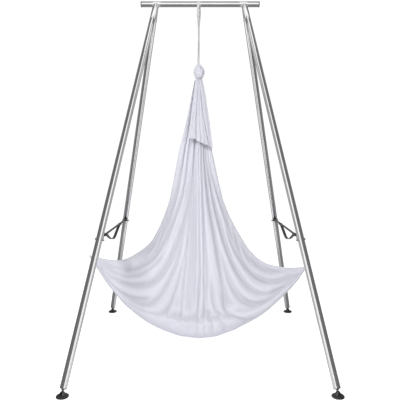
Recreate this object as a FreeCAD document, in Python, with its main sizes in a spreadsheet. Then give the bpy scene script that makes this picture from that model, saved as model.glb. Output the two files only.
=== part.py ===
import FreeCAD, Part
import Sketcher
import math
import os

from FreeCAD import Placement, Rotation, Vector

# Free-standing aerial rig: a level top bar on four splayed legs, levelling feet,
# two webbing straps between front and rear legs, and a fabric hammock hung from
# the middle of the bar by a sling.
# Frame: origin on the floor under the middle of the bar, X along the bar,
# -Y towards the front, Z up. Millimetres.

doc = FreeCAD.newDocument("aerial_rig")
sheet = doc.addObject("Spreadsheet::Sheet", "params")

PARAMS = [
    ("bar_height", 2925.0, "height of the bar's axis"),
    ("bar_length", 1000.0, "length of the bar's tube"),
    ("tube_outer", 25.0, "outside radius of bar and leg tubes"),
    ("tube_inner", 23.0, "inside radius of bar and leg tubes"),
    ("leg_top_x", 377.7, "where the leg axes meet the bar's axis"),
    ("ball_x", 919.0, "foot ball centre from the middle, along X"),
    ("ball_y", 925.0, "foot ball centre from the middle, along Y"),
    ("ball_z", 30.0, "foot ball centre above the floor"),
    ("leg_span", 3086.8, "foot ball centre to bar axis, along the leg"),
    ("stub_length", 110.0, "fork stub, from the bar's axis"),
    ("spigot_start", 77.0, "inner sleeve at the fork, from the bar's axis"),
    ("spigot_length", 190.0, "inner sleeve at the fork"),
    ("spigot_outer", 22.9, "outside radius of inner sleeves"),
    ("spigot_inner", 20.4, "inside radius of inner sleeves"),
    ("tube_foot", 28.0, "leg tube's lower end above the ball"),
    ("leg_split", 1080.0, "seam between lower and upper tube above the ball"),
    ("bolt_station", 1035.3, "leg joint bolt above the ball"),
    ("coupler_length", 320.0, "coupler sleeve in the leg joint"),
    ("bolt_radius", 4.0, "leg joint bolt shank"),
    ("bolt_hole", 4.25, "hole for the leg joint bolt"),
    ("bolt_flats", 13.0, "across flats of head and nut"),
    ("bolt_head", 5.5, "thickness of the bolt head"),
    ("nut_thick", 8.0, "thickness of the nut"),
    ("washer_outer", 8.5, "washer radius"),
    ("washer_thick", 1.6, "washer thickness"),
    ("top_screw_station", 134.0, "leg top screw, from the bar's axis"),
    ("top_screw_radius", 3.0, "leg top screw shank"),
    ("cap_flange", 26.2, "flange radius of the bar's end cap"),
    ("cap_thick", 9.0, "flange thickness of the bar's end cap"),
    ("cap_plug", 22.9, "plug radius of the bar's end cap"),
    ("cap_plug_length", 28.0, "plug length of the bar's end cap"),
    ("pad_radius", 43.0, "foot pad radius"),
    ("pad_rim", 7.0, "foot pad rim height"),
    ("pad_top", 17.0, "foot pad height"),
    ("pad_seat", 24.0, "flat radius on top of the foot pad"),
    ("cup_base", 22.0, "foot cup base radius"),
    ("cup_mouth", 14.2, "foot cup top radius"),
    ("cup_height", 16.0, "foot cup height"),
    ("ball_radius", 11.0, "ball on the foot stem"),
    ("socket_radius", 11.05, "socket in the foot cup"),
    ("stem_radius", 6.0, "foot stem"),
    ("stem_length", 78.0, "foot stem above the ball centre"),
    ("stem_bore", 6.05, "bore in plug and locknut"),
    ("locknut_flats", 19.0, "across flats of the locknut"),
    ("locknut_low", 13.5, "underside of the locknut above the ball"),
    ("locknut_thick", 10.0, "locknut thickness"),
    ("plug_flange_low", 23.5, "underside of the leg plug above the ball"),
    ("plug_flange", 25.0, "flange radius of the leg plug"),
    ("plug_radius", 22.95, "radius of the leg plug inside the tube"),
    ("plug_length", 44.0, "whole length of the leg plug"),
    ("strap_x", 729.0, "strap middle from the middle of the rig"),
    ("strap_z", 1012.0, "strap height"),
    ("strap_width", 25.0, "strap width"),
    ("strap_thick", 2.2, "strap thickness"),
    ("strap_end", 567.0, "strap end from the middle of the rig"),
    ("anchor_depth", 30.0, "strap anchor, along the strap"),
    ("anchor_width", 27.0, "strap anchor, across the strap"),
    ("anchor_tall", 30.0, "strap anchor height"),
    ("buckle_y", -440.0, "middle of the buckle, along the strap"),
    ("buckle_length", 78.0, "buckle length"),
    ("buckle_width", 34.0, "buckle width"),
    ("buckle_thick", 15.0, "buckle thickness"),
    ("lever_length", 46.0, "buckle lever length"),
    ("lever_width", 22.0, "buckle lever width"),
    ("lever_thick", 4.2, "buckle lever thickness"),
    ("lever_low", 3.2, "underside of the lever above the strap's middle"),
    ("lever_pin", 1.0, "buckle pin radius"),
    ("lever_bore", 1.06, "lever bore radius"),
    ("pin_back", 19.5, "buckle pin from the middle of the buckle"),
    ("hang_x", -13.0, "where the hammock hangs along the bar"),
    ("sling_width", 21.0, "sling width"),
    ("sling_thick", 3.0, "sling webbing thickness"),
    ("sling_gap", 25.35, "sling's inner radius round the bar"),
    ("ring_z", 2344.0, "middle of the ring in the knot"),
    ("ring_major", 24.0, "ring centreline radius"),
    ("ring_minor", 5.0, "ring bar radius"),
    ("knot_top", 2412.0, "top of the fabric knot"),
    ("knot_neck", 2272.0, "underside of the fabric knot"),
    ("knot_radius", 50.0, "knot radius"),
    ("fabric_half", 2.0, "half the modelled thickness of the hammock fabric"),
]
for i, (alias, number, note) in enumerate(PARAMS, 1):
    sheet.set("A%d" % i, note)
    sheet.set("B%d" % i, repr(number))
    sheet.setAlias("B%d" % i, alias)
doc.recompute()


def val(alias):
    return float(getattr(sheet, alias))


nodes = []
CORNERS = [
    ("front_left", -1, -1),
    ("front_right", 1, -1),
    ("rear_left", -1, 1),
    ("rear_right", 1, 1),
]
SIDES = [("left", -1), ("right", 1)]


def leg_frame(sx, sy):
    """Foot ball centre, and axes with Z up along the leg and X nearest the bar's direction, pointing outwards."""
    ball = Vector(sx * val("ball_x"), sy * val("ball_y"), val("ball_z"))
    top = Vector(sx * val("leg_top_x"), 0, val("bar_height"))
    along = (top - ball).normalize()
    out = Vector(sx, 0, 0)
    out = (out - along * out.dot(along)).normalize()
    side = along.cross(out)
    return Placement(ball, Rotation(out, side, along, "ZXY")), along, (top - ball).Length


# ---------------------------------------------------------------- helpers


def plane_of(body, role):
    for feature in body.Origin.OriginFeatures:
        if feature.Role == role:
            return feature


def new_body(name, placement=None):
    body = doc.addObject("PartDesign::Body", name)
    body.Label = name
    if placement is not None:
        body.Placement = placement
    return body


def new_sketch(body, name, role="XY_Plane", offset=None):
    sketch = body.newObject("Sketcher::SketchObject", name)
    sketch.AttachmentSupport = [(plane_of(body, role), "")]
    sketch.MapMode = "FlatFace"
    if offset is not None:
        sketch.setExpression("AttachmentOffset.Base.z", offset)
    return sketch


def add_circle(sketch, expr, rough):
    i = sketch.addGeometry(Part.Circle(Vector(0, 0, 0), Vector(0, 0, 1), rough), False)
    sketch.addConstraint(Sketcher.Constraint("Coincident", i, 3, -1, 1))
    k = sketch.addConstraint(Sketcher.Constraint("Radius", i, rough))
    sketch.setExpression("Constraints[%d]" % k, expr)


def add_rectangle(sketch, wide, tall, rough_w, rough_h):
    """A rectangle centred on the sketch's origin."""
    a, b = rough_w / 2, rough_h / 2
    pts = [Vector(-a, -b, 0), Vector(a, -b, 0), Vector(a, b, 0), Vector(-a, b, 0)]
    first = None
    for n in range(4):
        g = sketch.addGeometry(Part.LineSegment(pts[n], pts[(n + 1) % 4]), False)
        first = g if first is None else first
    for n in range(4):
        sketch.addConstraint(
            Sketcher.Constraint("Coincident", first + n, 2, first + (n + 1) % 4, 1)
        )
    sketch.addConstraint(Sketcher.Constraint("Horizontal", first))
    sketch.addConstraint(Sketcher.Constraint("Horizontal", first + 2))
    sketch.addConstraint(Sketcher.Constraint("Vertical", first + 1))
    sketch.addConstraint(Sketcher.Constraint("Vertical", first + 3))
    sketch.addConstraint(
        Sketcher.Constraint("Symmetric", first, 1, first + 1, 2, -1, 1)
    )
    k = sketch.addConstraint(
        Sketcher.Constraint("DistanceX", first, 1, first, 2, rough_w)
    )
    sketch.setExpression("Constraints[%d]" % k, wide)
    k = sketch.addConstraint(
        Sketcher.Constraint("DistanceY", first + 1, 1, first + 1, 2, rough_h)
    )
    sketch.setExpression("Constraints[%d]" % k, tall)


def add_profile(sketch, points):
    """A closed profile: each point is (x, y, x expression or None, y expression or None)."""
    count = len(points)
    for n in range(count):
        a, b = points[n], points[(n + 1) % count]
        sketch.addGeometry(
            Part.LineSegment(Vector(a[0], a[1], 0), Vector(b[0], b[1], 0)), False
        )
    for n in range(count):
        sketch.addConstraint(
            Sketcher.Constraint("Coincident", n, 2, (n + 1) % count, 1)
        )
    for n, (x, y, ex, ey) in enumerate(points):
        if abs(x) < 1e-9:
            sketch.addConstraint(Sketcher.Constraint("PointOnObject", n, 1, -2))
        else:
            k = sketch.addConstraint(
                Sketcher.Constraint("DistanceX", -1, 1, n, 1, x)
            )
            if ex:
                sketch.setExpression("Constraints[%d]" % k, ex)
        if abs(y) < 1e-9:
            sketch.addConstraint(Sketcher.Constraint("PointOnObject", n, 1, -1))
        else:
            k = sketch.addConstraint(
                Sketcher.Constraint("DistanceY", -1, 1, n, 1, y)
            )
            if ey:
                sketch.setExpression("Constraints[%d]" % k, ey)


def pad(body, sketch, length, name, both=False):
    feature = body.newObject("PartDesign::Pad", name)
    feature.Profile = sketch
    feature.setExpression("Length", length)
    if both:
        feature.Midplane = True
    return feature


def tube(name, placement, low, length, outer, inner):
    """A round tube along the body's Z."""
    body = new_body(name, placement)
    sketch = new_sketch(body, name + "_ring", "XY_Plane", low)
    add_circle(sketch, outer, 25.0)
    if inner:
        add_circle(sketch, inner, 20.0)
    pad(body, sketch, length, name + "_pad")
    return body


def cross_hole(body, name, station, radius, length="60"):
    """A round hole across the body, along its X."""
    sketch = body.newObject("Sketcher::SketchObject", name + "_sketch")
    sketch.AttachmentSupport = [(plane_of(body, "YZ_Plane"), "")]
    sketch.MapMode = "FlatFace"
    i = sketch.addGeometry(
        Part.Circle(Vector(0, 1000, 0), Vector(0, 0, 1), 4.0), False
    )
    sketch.addConstraint(Sketcher.Constraint("PointOnObject", i, 3, -2))
    k = sketch.addConstraint(Sketcher.Constraint("DistanceY", -1, 1, i, 3, 1000.0))
    sketch.setExpression("Constraints[%d]" % k, station)
    k = sketch.addConstraint(Sketcher.Constraint("Radius", i, 4.0))
    sketch.setExpression("Constraints[%d]" % k, radius)
    pocket = body.newObject("PartDesign::Pocket", name)
    pocket.Profile = sketch
    pocket.setExpression("Length", length)
    pocket.Midplane = True
    return pocket


def pin_hole(body, name, across, up, radius):
    """A round hole along the body's X at a given Y and Z."""
    sketch = body.newObject("Sketcher::SketchObject", name + "_sketch")
    sketch.AttachmentSupport = [(plane_of(body, "YZ_Plane"), "")]
    sketch.MapMode = "FlatFace"
    i = sketch.addGeometry(Part.Circle(Vector(-19, 5, 0), Vector(0, 0, 1), 1.0), False)
    k = sketch.addConstraint(Sketcher.Constraint("DistanceX", -1, 1, i, 3, -19.0))
    sketch.setExpression("Constraints[%d]" % k, across)
    k = sketch.addConstraint(Sketcher.Constraint("DistanceY", -1, 1, i, 3, 5.0))
    sketch.setExpression("Constraints[%d]" % k, up)
    k = sketch.addConstraint(Sketcher.Constraint("Radius", i, 1.0))
    sketch.setExpression("Constraints[%d]" % k, radius)
    pocket = body.newObject("PartDesign::Pocket", name)
    pocket.Profile = sketch
    pocket.Length = 100
    pocket.Midplane = True
    return pocket


def keep(label, obj):
    obj.Label = label
    nodes.append((label, obj))


def feature(label, shape, placement=None):
    """A piece whose shape is worked out here from the sheet's sizes."""
    obj = doc.addObject("Part::Feature", label)
    obj.Shape = shape
    if placement is not None:
        obj.Placement = placement
    keep(label, obj)
    return obj


def hexagon(flats, low, high):
    r = flats / math.sqrt(3.0)
    pts = [
        Vector(r * math.cos(math.radians(60 * n + 30)), r * math.sin(math.radians(60 * n + 30)), low)
        for n in range(7)
    ]
    return Part.Face(Part.makePolygon(pts)).extrude(Vector(0, 0, high - low))


def chamfered_hexagon(flats, low, high):
    """A hexagon whose corners are turned down at both ends."""
    block = hexagon(flats, low, high)
    r = flats / math.sqrt(3.0)
    rise = (r - flats / 2.0) * 0.6
    cone = Part.makeCone(flats / 2.0 * 0.97 + 0.0, r + 0.02, rise, Vector(0, 0, low)).fuse(
        Part.makeCylinder(r + 0.02, high - low - 2 * rise, Vector(0, 0, low + rise))
    ).fuse(Part.makeCone(r + 0.02, flats / 2.0 * 0.97, rise, Vector(0, 0, high - rise)))
    return block.common(cone)


# ---------------------------------------------------------------- top bar

along_x = Rotation(Vector(0, 1, 0), Vector(0, 0, 1), Vector(1, 0, 0), "ZXY")
bar_place = Placement(Vector(0, 0, val("bar_height")), along_x)
bar = tube("top_bar", bar_place, "-params.bar_length / 2", "params.bar_length", "params.tube_outer", "params.tube_inner")
keep("top_bar", bar)

for side, sx in SIDES:
    turn = Rotation(Vector(0, 1, 0), Vector(0, 0, sx), Vector(sx, 0, 0), "ZXY")
    cap = new_body("bar_end_cap_" + side, Placement(Vector(sx * val("bar_length") / 2, 0, val("bar_height")), turn))
    sketch = new_sketch(cap, "cap_profile_" + side, "XZ_Plane")
    fl, th, pl, ln = val("cap_flange"), val("cap_thick"), val("cap_plug"), val("cap_plug_length")
    add_profile(sketch, [
        (0, -ln, None, "-params.cap_plug_length"),
        (pl - 1.0, -ln, "params.cap_plug - 1", "-params.cap_plug_length"),
        (pl, -ln + 3, "params.cap_plug", "-params.cap_plug_length + 3"),
        (pl, 0, "params.cap_plug", None),
        (fl, 0, "params.cap_flange", None),
        (fl, th - 2.5, "params.cap_flange", "params.cap_thick - 2.5"),
        (fl - 2.5, th, "params.cap_flange - 2.5", "params.cap_thick"),
        (0, th, None, "params.cap_thick"),
    ])
    turned = cap.newObject("PartDesign::Revolution", "cap_turn_" + side)
    turned.Profile = sketch
    turned.ReferenceAxis = (sketch, ["V_Axis"])
    turned.Angle = 360
    keep("bar_end_cap_" + side, cap)

# Leg forks: two stubs per side, joined under the bar and coped to it.
for side, sx in SIDES:
    outers, inners = [], []
    for corner, cx, cy in CORNERS:
        if cx != sx:
            continue
        place, along, span = leg_frame(cx, cy)
        top = Placement(place.multVec(Vector(0, 0, span)), place.Rotation.multiply(Rotation(Vector(1, 0, 0), 180)))
        for bucket, radius, extra, tag in ((outers, "tube_outer", 0, "skin"), (inners, "tube_inner", 5, "bore")):
            c = doc.addObject("Part::Cylinder", "fork_%s_%s" % (tag, corner))
            c.setExpression("Radius", "params." + radius)
            c.setExpression("Height", "params.stub_length + %d" % extra)
            c.Placement = top
            bucket.append(c)
    skin = doc.addObject("Part::MultiFuse", "fork_skins_" + side)
    skin.Shapes = outers
    bore = doc.addObject("Part::MultiFuse", "fork_bores_" + side)
    bore.Shapes = inners
    hollow = doc.addObject("Part::Cut", "fork_hollow_" + side)
    hollow.Base, hollow.Tool = skin, bore
    cope = doc.addObject("Part::Cylinder", "fork_cope_" + side)
    cope.setExpression("Radius", "params.tube_outer")
    cope.Height = 200
    cope.Placement = Placement(Vector(sx * val("leg_top_x") - 100, 0, val("bar_height")), along_x)
    fork = doc.addObject("Part::Cut", "leg_fork_" + side)
    fork.Base, fork.Tool = hollow, cope
    keep("leg_fork_" + side, fork)

# ---------------------------------------------------------------- legs and feet

bolt_solids, top_screw_solids, locknut_solids = [], [], []
for corner, sx, sy in CORNERS:
    place, along, span = leg_frame(sx, sy)
    ball = place.Base

    upper = tube(
        "upper_leg_" + corner, place, "params.leg_split",
        "params.leg_span - params.stub_length - params.leg_split", "params.tube_outer", "params.tube_inner")
    doc.recompute()
    cross = cross_hole(upper, "upper_screw_hole_" + corner, "params.leg_span - params.top_screw_station", "params.top_screw_radius + 0.1", "60")
    cross.Midplane = False
    cross.Reversed = False
    keep("upper_leg_" + corner, upper)

    spigot = tube(
        "leg_spigot_" + corner, place, "params.leg_span - params.spigot_start - params.spigot_length",
        "params.spigot_length", "params.spigot_outer", "params.spigot_inner")
    doc.recompute()
    cross = cross_hole(spigot, "spigot_screw_hole_" + corner, "params.leg_span - params.top_screw_station", "params.top_screw_radius + 0.1", "60")
    cross.Midplane = False
    cross.Reversed = False
    keep("leg_spigot_" + corner, spigot)

    lower = tube(
        "lower_leg_" + corner, place, "params.tube_foot", "params.leg_split - params.tube_foot",
        "params.tube_outer", "params.tube_inner")
    doc.recompute()
    cross_hole(lower, "lower_bolt_hole_" + corner, "params.bolt_station", "params.bolt_hole")
    keep("lower_leg_" + corner, lower)

    coupler = tube(
        "leg_coupler_" + corner, place, "params.leg_split - params.coupler_length / 2", "params.coupler_length",
        "params.spigot_outer", "params.spigot_inner")
    doc.recompute()
    cross_hole(coupler, "coupler_bolt_hole_" + corner, "params.bolt_station", "params.bolt_hole")
    keep("leg_coupler_" + corner, coupler)

    # Plug in the tube's lower end, bored for the foot stem.
    plug = new_body("leg_end_plug_" + corner, place)
    sketch = new_sketch(plug, "plug_profile_" + corner, "XZ_Plane")
    bore_r, fl, lo = val("stem_bore"), val("plug_flange"), val("plug_flange_low")
    foot, rad, ln = val("tube_foot"), val("plug_radius"), val("plug_length")
    add_profile(sketch, [
        (bore_r, lo, "params.stem_bore", "params.plug_flange_low"),
        (fl - 1.5, lo, "params.plug_flange - 1.5", "params.plug_flange_low"),
        (fl, lo + 1.5, "params.plug_flange", "params.plug_flange_low + 1.5"),
        (fl, foot, "params.plug_flange", "params.tube_foot"),
        (rad, foot, "params.plug_radius", "params.tube_foot"),
        (rad, lo + ln - 2, "params.plug_radius", "params.plug_flange_low + params.plug_length - 2"),
        (rad - 2, lo + ln, "params.plug_radius - 2", "params.plug_flange_low + params.plug_length"),
        (bore_r, lo + ln, "params.stem_bore", "params.plug_flange_low + params.plug_length"),
    ])
    turned = plug.newObject("PartDesign::Revolution", "plug_turn_" + corner)
    turned.Profile = sketch
    turned.ReferenceAxis = (sketch, ["V_Axis"])
    turned.Angle = 360
    keep("leg_end_plug_" + corner, plug)

    # Threaded stem with the ball that the foot turns on.
    shank = doc.addObject("Part::Cylinder", "stem_shank_" + corner)
    shank.setExpression("Radius", "params.stem_radius")
    shank.setExpression("Height", "params.stem_length")
    knob = doc.addObject("Part::Sphere", "stem_ball_" + corner)
    knob.setExpression("Radius", "params.ball_radius")
    stem = doc.addObject("Part::Fuse", "foot_stem_" + corner)
    stem.Base, stem.Tool = shank, knob
    stem.Placement = place
    keep("foot_stem_" + corner, stem)

    # Steel cup round the ball, on the rubber pad. Both stand upright on the floor.
    upright = Placement(Vector(ball.x, ball.y, 0), Rotation())
    cone = doc.addObject("Part::Cone", "cup_cone_" + corner)
    cone.setExpression("Radius1", "params.cup_base")
    cone.setExpression("Radius2", "params.cup_mouth")
    cone.setExpression("Height", "params.cup_height")
    cone.Placement = Placement(Vector(0, 0, val("pad_top")), Rotation())
    socket = doc.addObject("Part::Sphere", "cup_socket_" + corner)
    socket.setExpression("Radius", "params.socket_radius")
    socket.Placement = Placement(Vector(0, 0, val("ball_z")), Rotation())
    cup = doc.addObject("Part::Cut", "foot_cup_" + corner)
    cup.Base, cup.Tool = cone, socket
    cup.Placement = upright
    keep("foot_cup_" + corner, cup)

    rubber = new_body("foot_pad_" + corner, upright)
    sketch = new_sketch(rubber, "pad_profile_" + corner, "XZ_Plane")
    pr, rim, tp, st = val("pad_radius"), val("pad_rim"), val("pad_top"), val("pad_seat")
    add_profile(sketch, [
        (0, 0, None, None),
        (pr - 2.5, 0, "params.pad_radius - 2.5", None),
        (pr, 2.5, "params.pad_radius", "2.5"),
        (pr, rim, "params.pad_radius", "params.pad_rim"),
        (pr - 7, tp - 4, "params.pad_radius - 7", "params.pad_top - 4"),
        (st, tp, "params.pad_seat", "params.pad_top"),
        (0, tp, None, "params.pad_top"),
    ])
    turned = rubber.newObject("PartDesign::Revolution", "pad_turn_" + corner)
    turned.Profile = sketch
    turned.ReferenceAxis = (sketch, ["V_Axis"])
    turned.Angle = 360
    keep("foot_pad_" + corner, rubber)

    # Fasteners, worked out in the leg's frame and kept together by kind.
    m = place.toMatrix()
    station = Placement(Vector(0, 0, val("bolt_station")), Rotation(Vector(0, 1, 0), 90)).toMatrix()
    out, w = val("tube_outer"), val("washer_thick")
    shank_s = Part.makeCylinder(val("bolt_radius"), 2 * out + w * 2 + val("nut_thick") + 3.0, Vector(0, 0, -out - w - val("nut_thick") - 3.0))
    head = chamfered_hexagon(val("bolt_flats"), out + w, out + w + val("bolt_head"))
    bolt = shank_s.fuse(head).removeSplitter()
    nut = chamfered_hexagon(val("bolt_flats"), -out - w - val("nut_thick"), -out - w).cut(
        Part.makeCylinder(val("bolt_radius"), 60, Vector(0, 0, -60)))
    rings = []
    for low in (out, -out - w):
        rings.append(Part.makeCylinder(val("washer_outer"), w, Vector(0, 0, low)).cut(
            Part.makeCylinder(val("bolt_radius"), 200, Vector(0, 0, -100))))
    for solid in [bolt, nut] + rings:
        bolt_solids.append(solid.transformGeometry(m.multiply(station)) if False else solid.transformed(m.multiply(station)))

    station = Placement(Vector(0, 0, val("leg_span") - val("top_screw_station")), Rotation(Vector(0, 1, 0), 90)).toMatrix()
    r = val("top_screw_radius")
    screw = Part.makeCylinder(r, 9.0, Vector(0, 0, -out - 1.0)).fuse(
        Part.makeCylinder(r * 1.9, 2.6, Vector(0, 0, -out - 3.2)).common(Part.makeSphere(r * 2.4, Vector(0, 0, -out + 2.6))))
    top_screw_solids.append(screw.removeSplitter().transformed(m.multiply(station)))

    nut_s = chamfered_hexagon(val("locknut_flats"), val("locknut_low"), val("locknut_low") + val("locknut_thick")).cut(
        Part.makeCylinder(val("stem_bore"), 200, Vector(0, 0, -100)))
    locknut_solids.append(nut_s.transformed(m))

feature("leg_joint_bolts", Part.makeCompound(bolt_solids))
feature("leg_top_screws", Part.makeCompound(top_screw_solids))
feature("foot_locknuts", Part.makeCompound(locknut_solids))

# ---------------------------------------------------------------- straps


def ribbon(points, half):
    """A flat band seen edge on: straight runs joined by tangent arcs, in the YZ plane. Returns the outline's face and the centreline's length and arc radii."""
    pts = [Vector(0, y, z) for y, z in points]
    n = len(pts)
    pieces, radii = [], []
    starts = [pts[0]]
    mids = []
    for k in range(1, n - 1):
        a, b, c = pts[k - 1], pts[k], pts[k + 1]
        u, v = (a - b).normalize(), (c - b).normalize()
        turn = math.pi - u.getAngle(v)
        reach = 0.45 * min((a - b).Length, (c - b).Length)
        radius = reach / math.tan(turn / 2)
        bis = (u + v).normalize()
        centre = b + bis * (radius / math.cos(turn / 2))
        mid = centre - bis * radius
        mids.append((b + u * reach, mid, b + v * reach, centre, radius))
        radii.append(radius)
    left, right, length = [], [], 0.0

    def normal(d):
        return Vector(0, -d.z, d.y)

    here = pts[0]
    for k in range(n - 1):
        end = mids[k][0] if k < n - 2 else pts[-1]
        d = (end - here).normalize()
        side = normal(d) * half
        left.append(Part.LineSegment(here + side, end + side).toShape())
        right.append(Part.LineSegment(here - side, end - side).toShape())
        length += (end - here).Length
        if k < n - 2:
            p, mid, q, centre, radius = mids[k]
            for bucket, sign in ((left, 1), (right, -1)):
                tri = []
                for point in (p, mid, q):
                    outward = (point - centre).normalize()
                    d2 = Vector(0, -outward.z, outward.y)
                    if d2.dot(q - p) < 0:
                        d2 = d2 * -1
                    tri.append(point + normal(d2) * (half * sign))
                bucket.append(Part.Arc(*tri).toShape())
            length += radius * 2 * math.asin(min(1.0, (q - p).Length / (2 * radius)))
            here = q
    cap_a = Part.LineSegment(left[0].Vertexes[0].Point, right[0].Vertexes[0].Point).toShape()
    cap_b = Part.LineSegment(left[-1].Vertexes[-1].Point, right[-1].Vertexes[-1].Point).toShape()
    wire = Part.Wire(Part.__sortEdges__(left + right + [cap_a, cap_b]))
    return Part.Face(wire), length, radii


# Route of the strap's loose end: (Y, Z) of its middle line.
TAIL_ROUTE = [
    (-400.4, 1007.6),
    (-352.0, 994.0),
    (-285.0, 967.0),
    (-200.0, 941.0),
    (-105.0, 925.0),
    (-18.0, 936.0),
    (60.0, 964.0),
    (132.0, 986.0),
    (182.0, 1000.6),
    (225.0, 1007.2),
    (262.0, 1008.7),
]

pin_solids, keeper_solids = [], []
for side, sx in SIDES:
    strap = new_body("strap_webbing_" + side, Placement(Vector(sx * val("strap_x"), 0, val("strap_z")), Rotation()))
    sketch = new_sketch(strap, "strap_section_" + side, "XZ_Plane")
    add_rectangle(sketch, "params.strap_width", "params.strap_thick", 25, 2.2)
    pad(strap, sketch, "2 * params.strap_end", "strap_pad_" + side, both=True)
    keep("strap_webbing_" + side, strap)

    face, length, radii = ribbon(TAIL_ROUTE, val("strap_thick") / 2)
    w = val("strap_width")
    band = face.extrude(Vector(w, 0, 0))
    band.translate(Vector(sx * val("strap_x") - w / 2, 0, 0))
    feature("strap_tail_" + side, band)
    print("strap tail length %.1f, arc radii %s, volume ratio %.4f" % (
        length, [round(r) for r in radii], band.Volume / (length * w * val("strap_thick"))))

    # Cam buckle: a moulded frame that the webbing runs through, with a lever on top.
    buckle = new_body("strap_buckle_" + side, Placement(Vector(sx * val("strap_x"), val("buckle_y"), val("strap_z")), Rotation()))
    sketch = new_sketch(buckle, "buckle_plan_" + side, "XY_Plane")
    add_rectangle(sketch, "params.buckle_width", "params.buckle_length", 34, 78)
    pad(buckle, sketch, "params.buckle_thick", "buckle_block_" + side, both=True)
    doc.recompute()
    sketch = new_sketch(buckle, "buckle_slot_" + side, "XZ_Plane")
    add_rectangle(sketch, "params.strap_width + 1.4", "params.strap_thick + 1.2", 26.4, 3.4)
    slot = buckle.newObject("PartDesign::Pocket", "buckle_way_" + side)
    slot.Profile = sketch
    slot.Length = 200
    slot.Midplane = True
    doc.recompute()
    sketch = new_sketch(buckle, "buckle_window_" + side, "XY_Plane")
    add_rectangle(sketch, "params.lever_width + 1", "params.lever_length + 2.4", 23, 47)
    window = buckle.newObject("PartDesign::Pocket", "buckle_well_" + side)
    window.Profile = sketch
    window.Length = 40
    window.Reversed = True
    doc.recompute()
    pin_hole(buckle, "buckle_pin_hole_" + side, "-params.pin_back", "params.lever_low + params.lever_thick / 2", "params.lever_pin")
    keep("strap_buckle_" + side, buckle)
    pin_solids.append(Part.makeCylinder(val("lever_pin"), val("buckle_width") - 1.0, Vector(
        sx * val("strap_x") - val("buckle_width") / 2 + 0.5, val("buckle_y") - val("pin_back"),
        val("strap_z") + val("lever_low") + val("lever_thick") / 2), Vector(1, 0, 0)))
    # elastic keeper that holds the loose end's return under the strap
    sleeve = Part.makeBox(30, 16, 12.4, Vector(sx * val("strap_x") - 15, 236, val("strap_z") - 8.6)).cut(
        Part.makeBox(26, 40, 8.8, Vector(sx * val("strap_x") - 13, 220, val("strap_z") - 6.8)))
    keeper_solids.append(sleeve)

    lever = new_body("buckle_lever_" + side, Placement(Vector(sx * val("strap_x"), val("buckle_y"), val("strap_z")), Rotation()))
    sketch = new_sketch(lever, "lever_plan_" + side, "XY_Plane", "params.lever_low")
    add_rectangle(sketch, "params.lever_width", "params.lever_length", 22, 46)
    pad(lever, sketch, "params.lever_thick", "lever_pad_" + side)
    doc.recompute()
    pin_hole(lever, "lever_pin_hole_" + side, "-params.pin_back", "params.lever_low + params.lever_thick / 2", "params.lever_bore")
    keep("buckle_lever_" + side, lever)

feature("buckle_pins", Part.makeCompound(pin_solids))
feature("strap_keepers", Part.makeCompound(keeper_solids))

# Anchors on the legs' inner faces, slotted for the sewn strap ends.
for corner, sx, sy in CORNERS:
    place, along, span = leg_frame(sx, sy)
    depth, width, tall = val("anchor_depth"), val("anchor_width"), val("anchor_tall")
    share = (val("strap_z") - place.Base.z) / (val("bar_height") - place.Base.z)
    leg_y = abs(place.Base.y) * (1 - share)
    leg_x = abs(place.Base.x) + share * (val("leg_top_x") - abs(place.Base.x))
    block = Part.makeBox(width, depth + 25, tall, Vector(sx * val("strap_x") - width / 2, sy * leg_y - (depth + 25 if sy > 0 else 0), val("strap_z") - tall / 2))
    leg = Part.makeCylinder(val("tube_outer"), 400, Vector(0, 0, -200)).transformed(
        Placement(place.multVec(Vector(0, 0, (val("strap_z") - place.Base.z) / along.z)), place.Rotation).toMatrix())
    block = block.cut(leg)
    block = max(block.Solids, key=lambda s: s.Volume)
    # the webbing's seat
    way = Part.makeBox(val("strap_width") + 0.2, 400, val("strap_thick") + 0.02, Vector(
        sx * val("strap_x") - val("strap_width") / 2 - 0.1, -200 + sy * (val("strap_end") - 200 + 0.0), val("strap_z") - val("strap_thick") / 2 - 0.01))
    block = block.cut(way)
    edges = [e for e in block.Edges if abs(e.tangentAt(e.FirstParameter).y) < 0.01 and
             all(abs(abs(v.Y) - (leg_y - depth - 25)) < 1e-3 for v in e.Vertexes) and e.Length > 30]
    block = block.makeFillet(3.0, edges) if edges else block
    feature("strap_anchor_" + corner, block)

# ---------------------------------------------------------------- sling, ring and hammock

hx = val("hang_x")
bz = val("bar_height")
g, t = val("sling_gap"), val("sling_thick")
ring_top = val("ring_z") + val("ring_major") + val("ring_minor")
low_in = ring_top + 0.15 - t - 2 * val("ring_minor") - 0.3


def loop_outline(extra):
    """The sling's side view: round the bar, together below it, and round the ring's bar."""
    r = g + extra
    small = val("ring_minor") + 0.15 + extra
    cz = val("ring_z") + val("ring_major")
    # outer tangents between the circle round the bar and the circle round the ring's bar
    gap = bz - cz
    lean = math.asin((r - small) / gap)
    a = Vector(0, r * math.cos(lean), bz - r * math.sin(lean) * -1 * -1)
    b = Vector(0, small * math.cos(lean), cz - small * math.sin(lean))
    a = Vector(0, r * math.cos(lean), bz - r * math.sin(lean))
    edges = [
        Part.Arc(a, Vector(0, 0, bz + r), Vector(0, -a.y, a.z)).toShape(),
        Part.LineSegment(Vector(0, -a.y, a.z), Vector(0, -b.y, b.z)).toShape(),
        Part.Arc(Vector(0, -b.y, b.z), Vector(0, 0, cz - small), b).toShape(),
        Part.LineSegment(b, a).toShape(),
    ]
    return Part.Face(Part.Wire(edges))


band = loop_outline(t).cut(loop_outline(0.0)).extrude(Vector(val("sling_width"), 0, 0))
band.translate(Vector(hx - val("sling_width") / 2, 0, 0))
ring_room = Part.makeTorus(val("ring_major"), val("ring_minor") + 0.15, Vector(hx, 0, val("ring_z")), Vector(0, 1, 0))
feature("hanging_sling", band.cut(ring_room))

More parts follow.
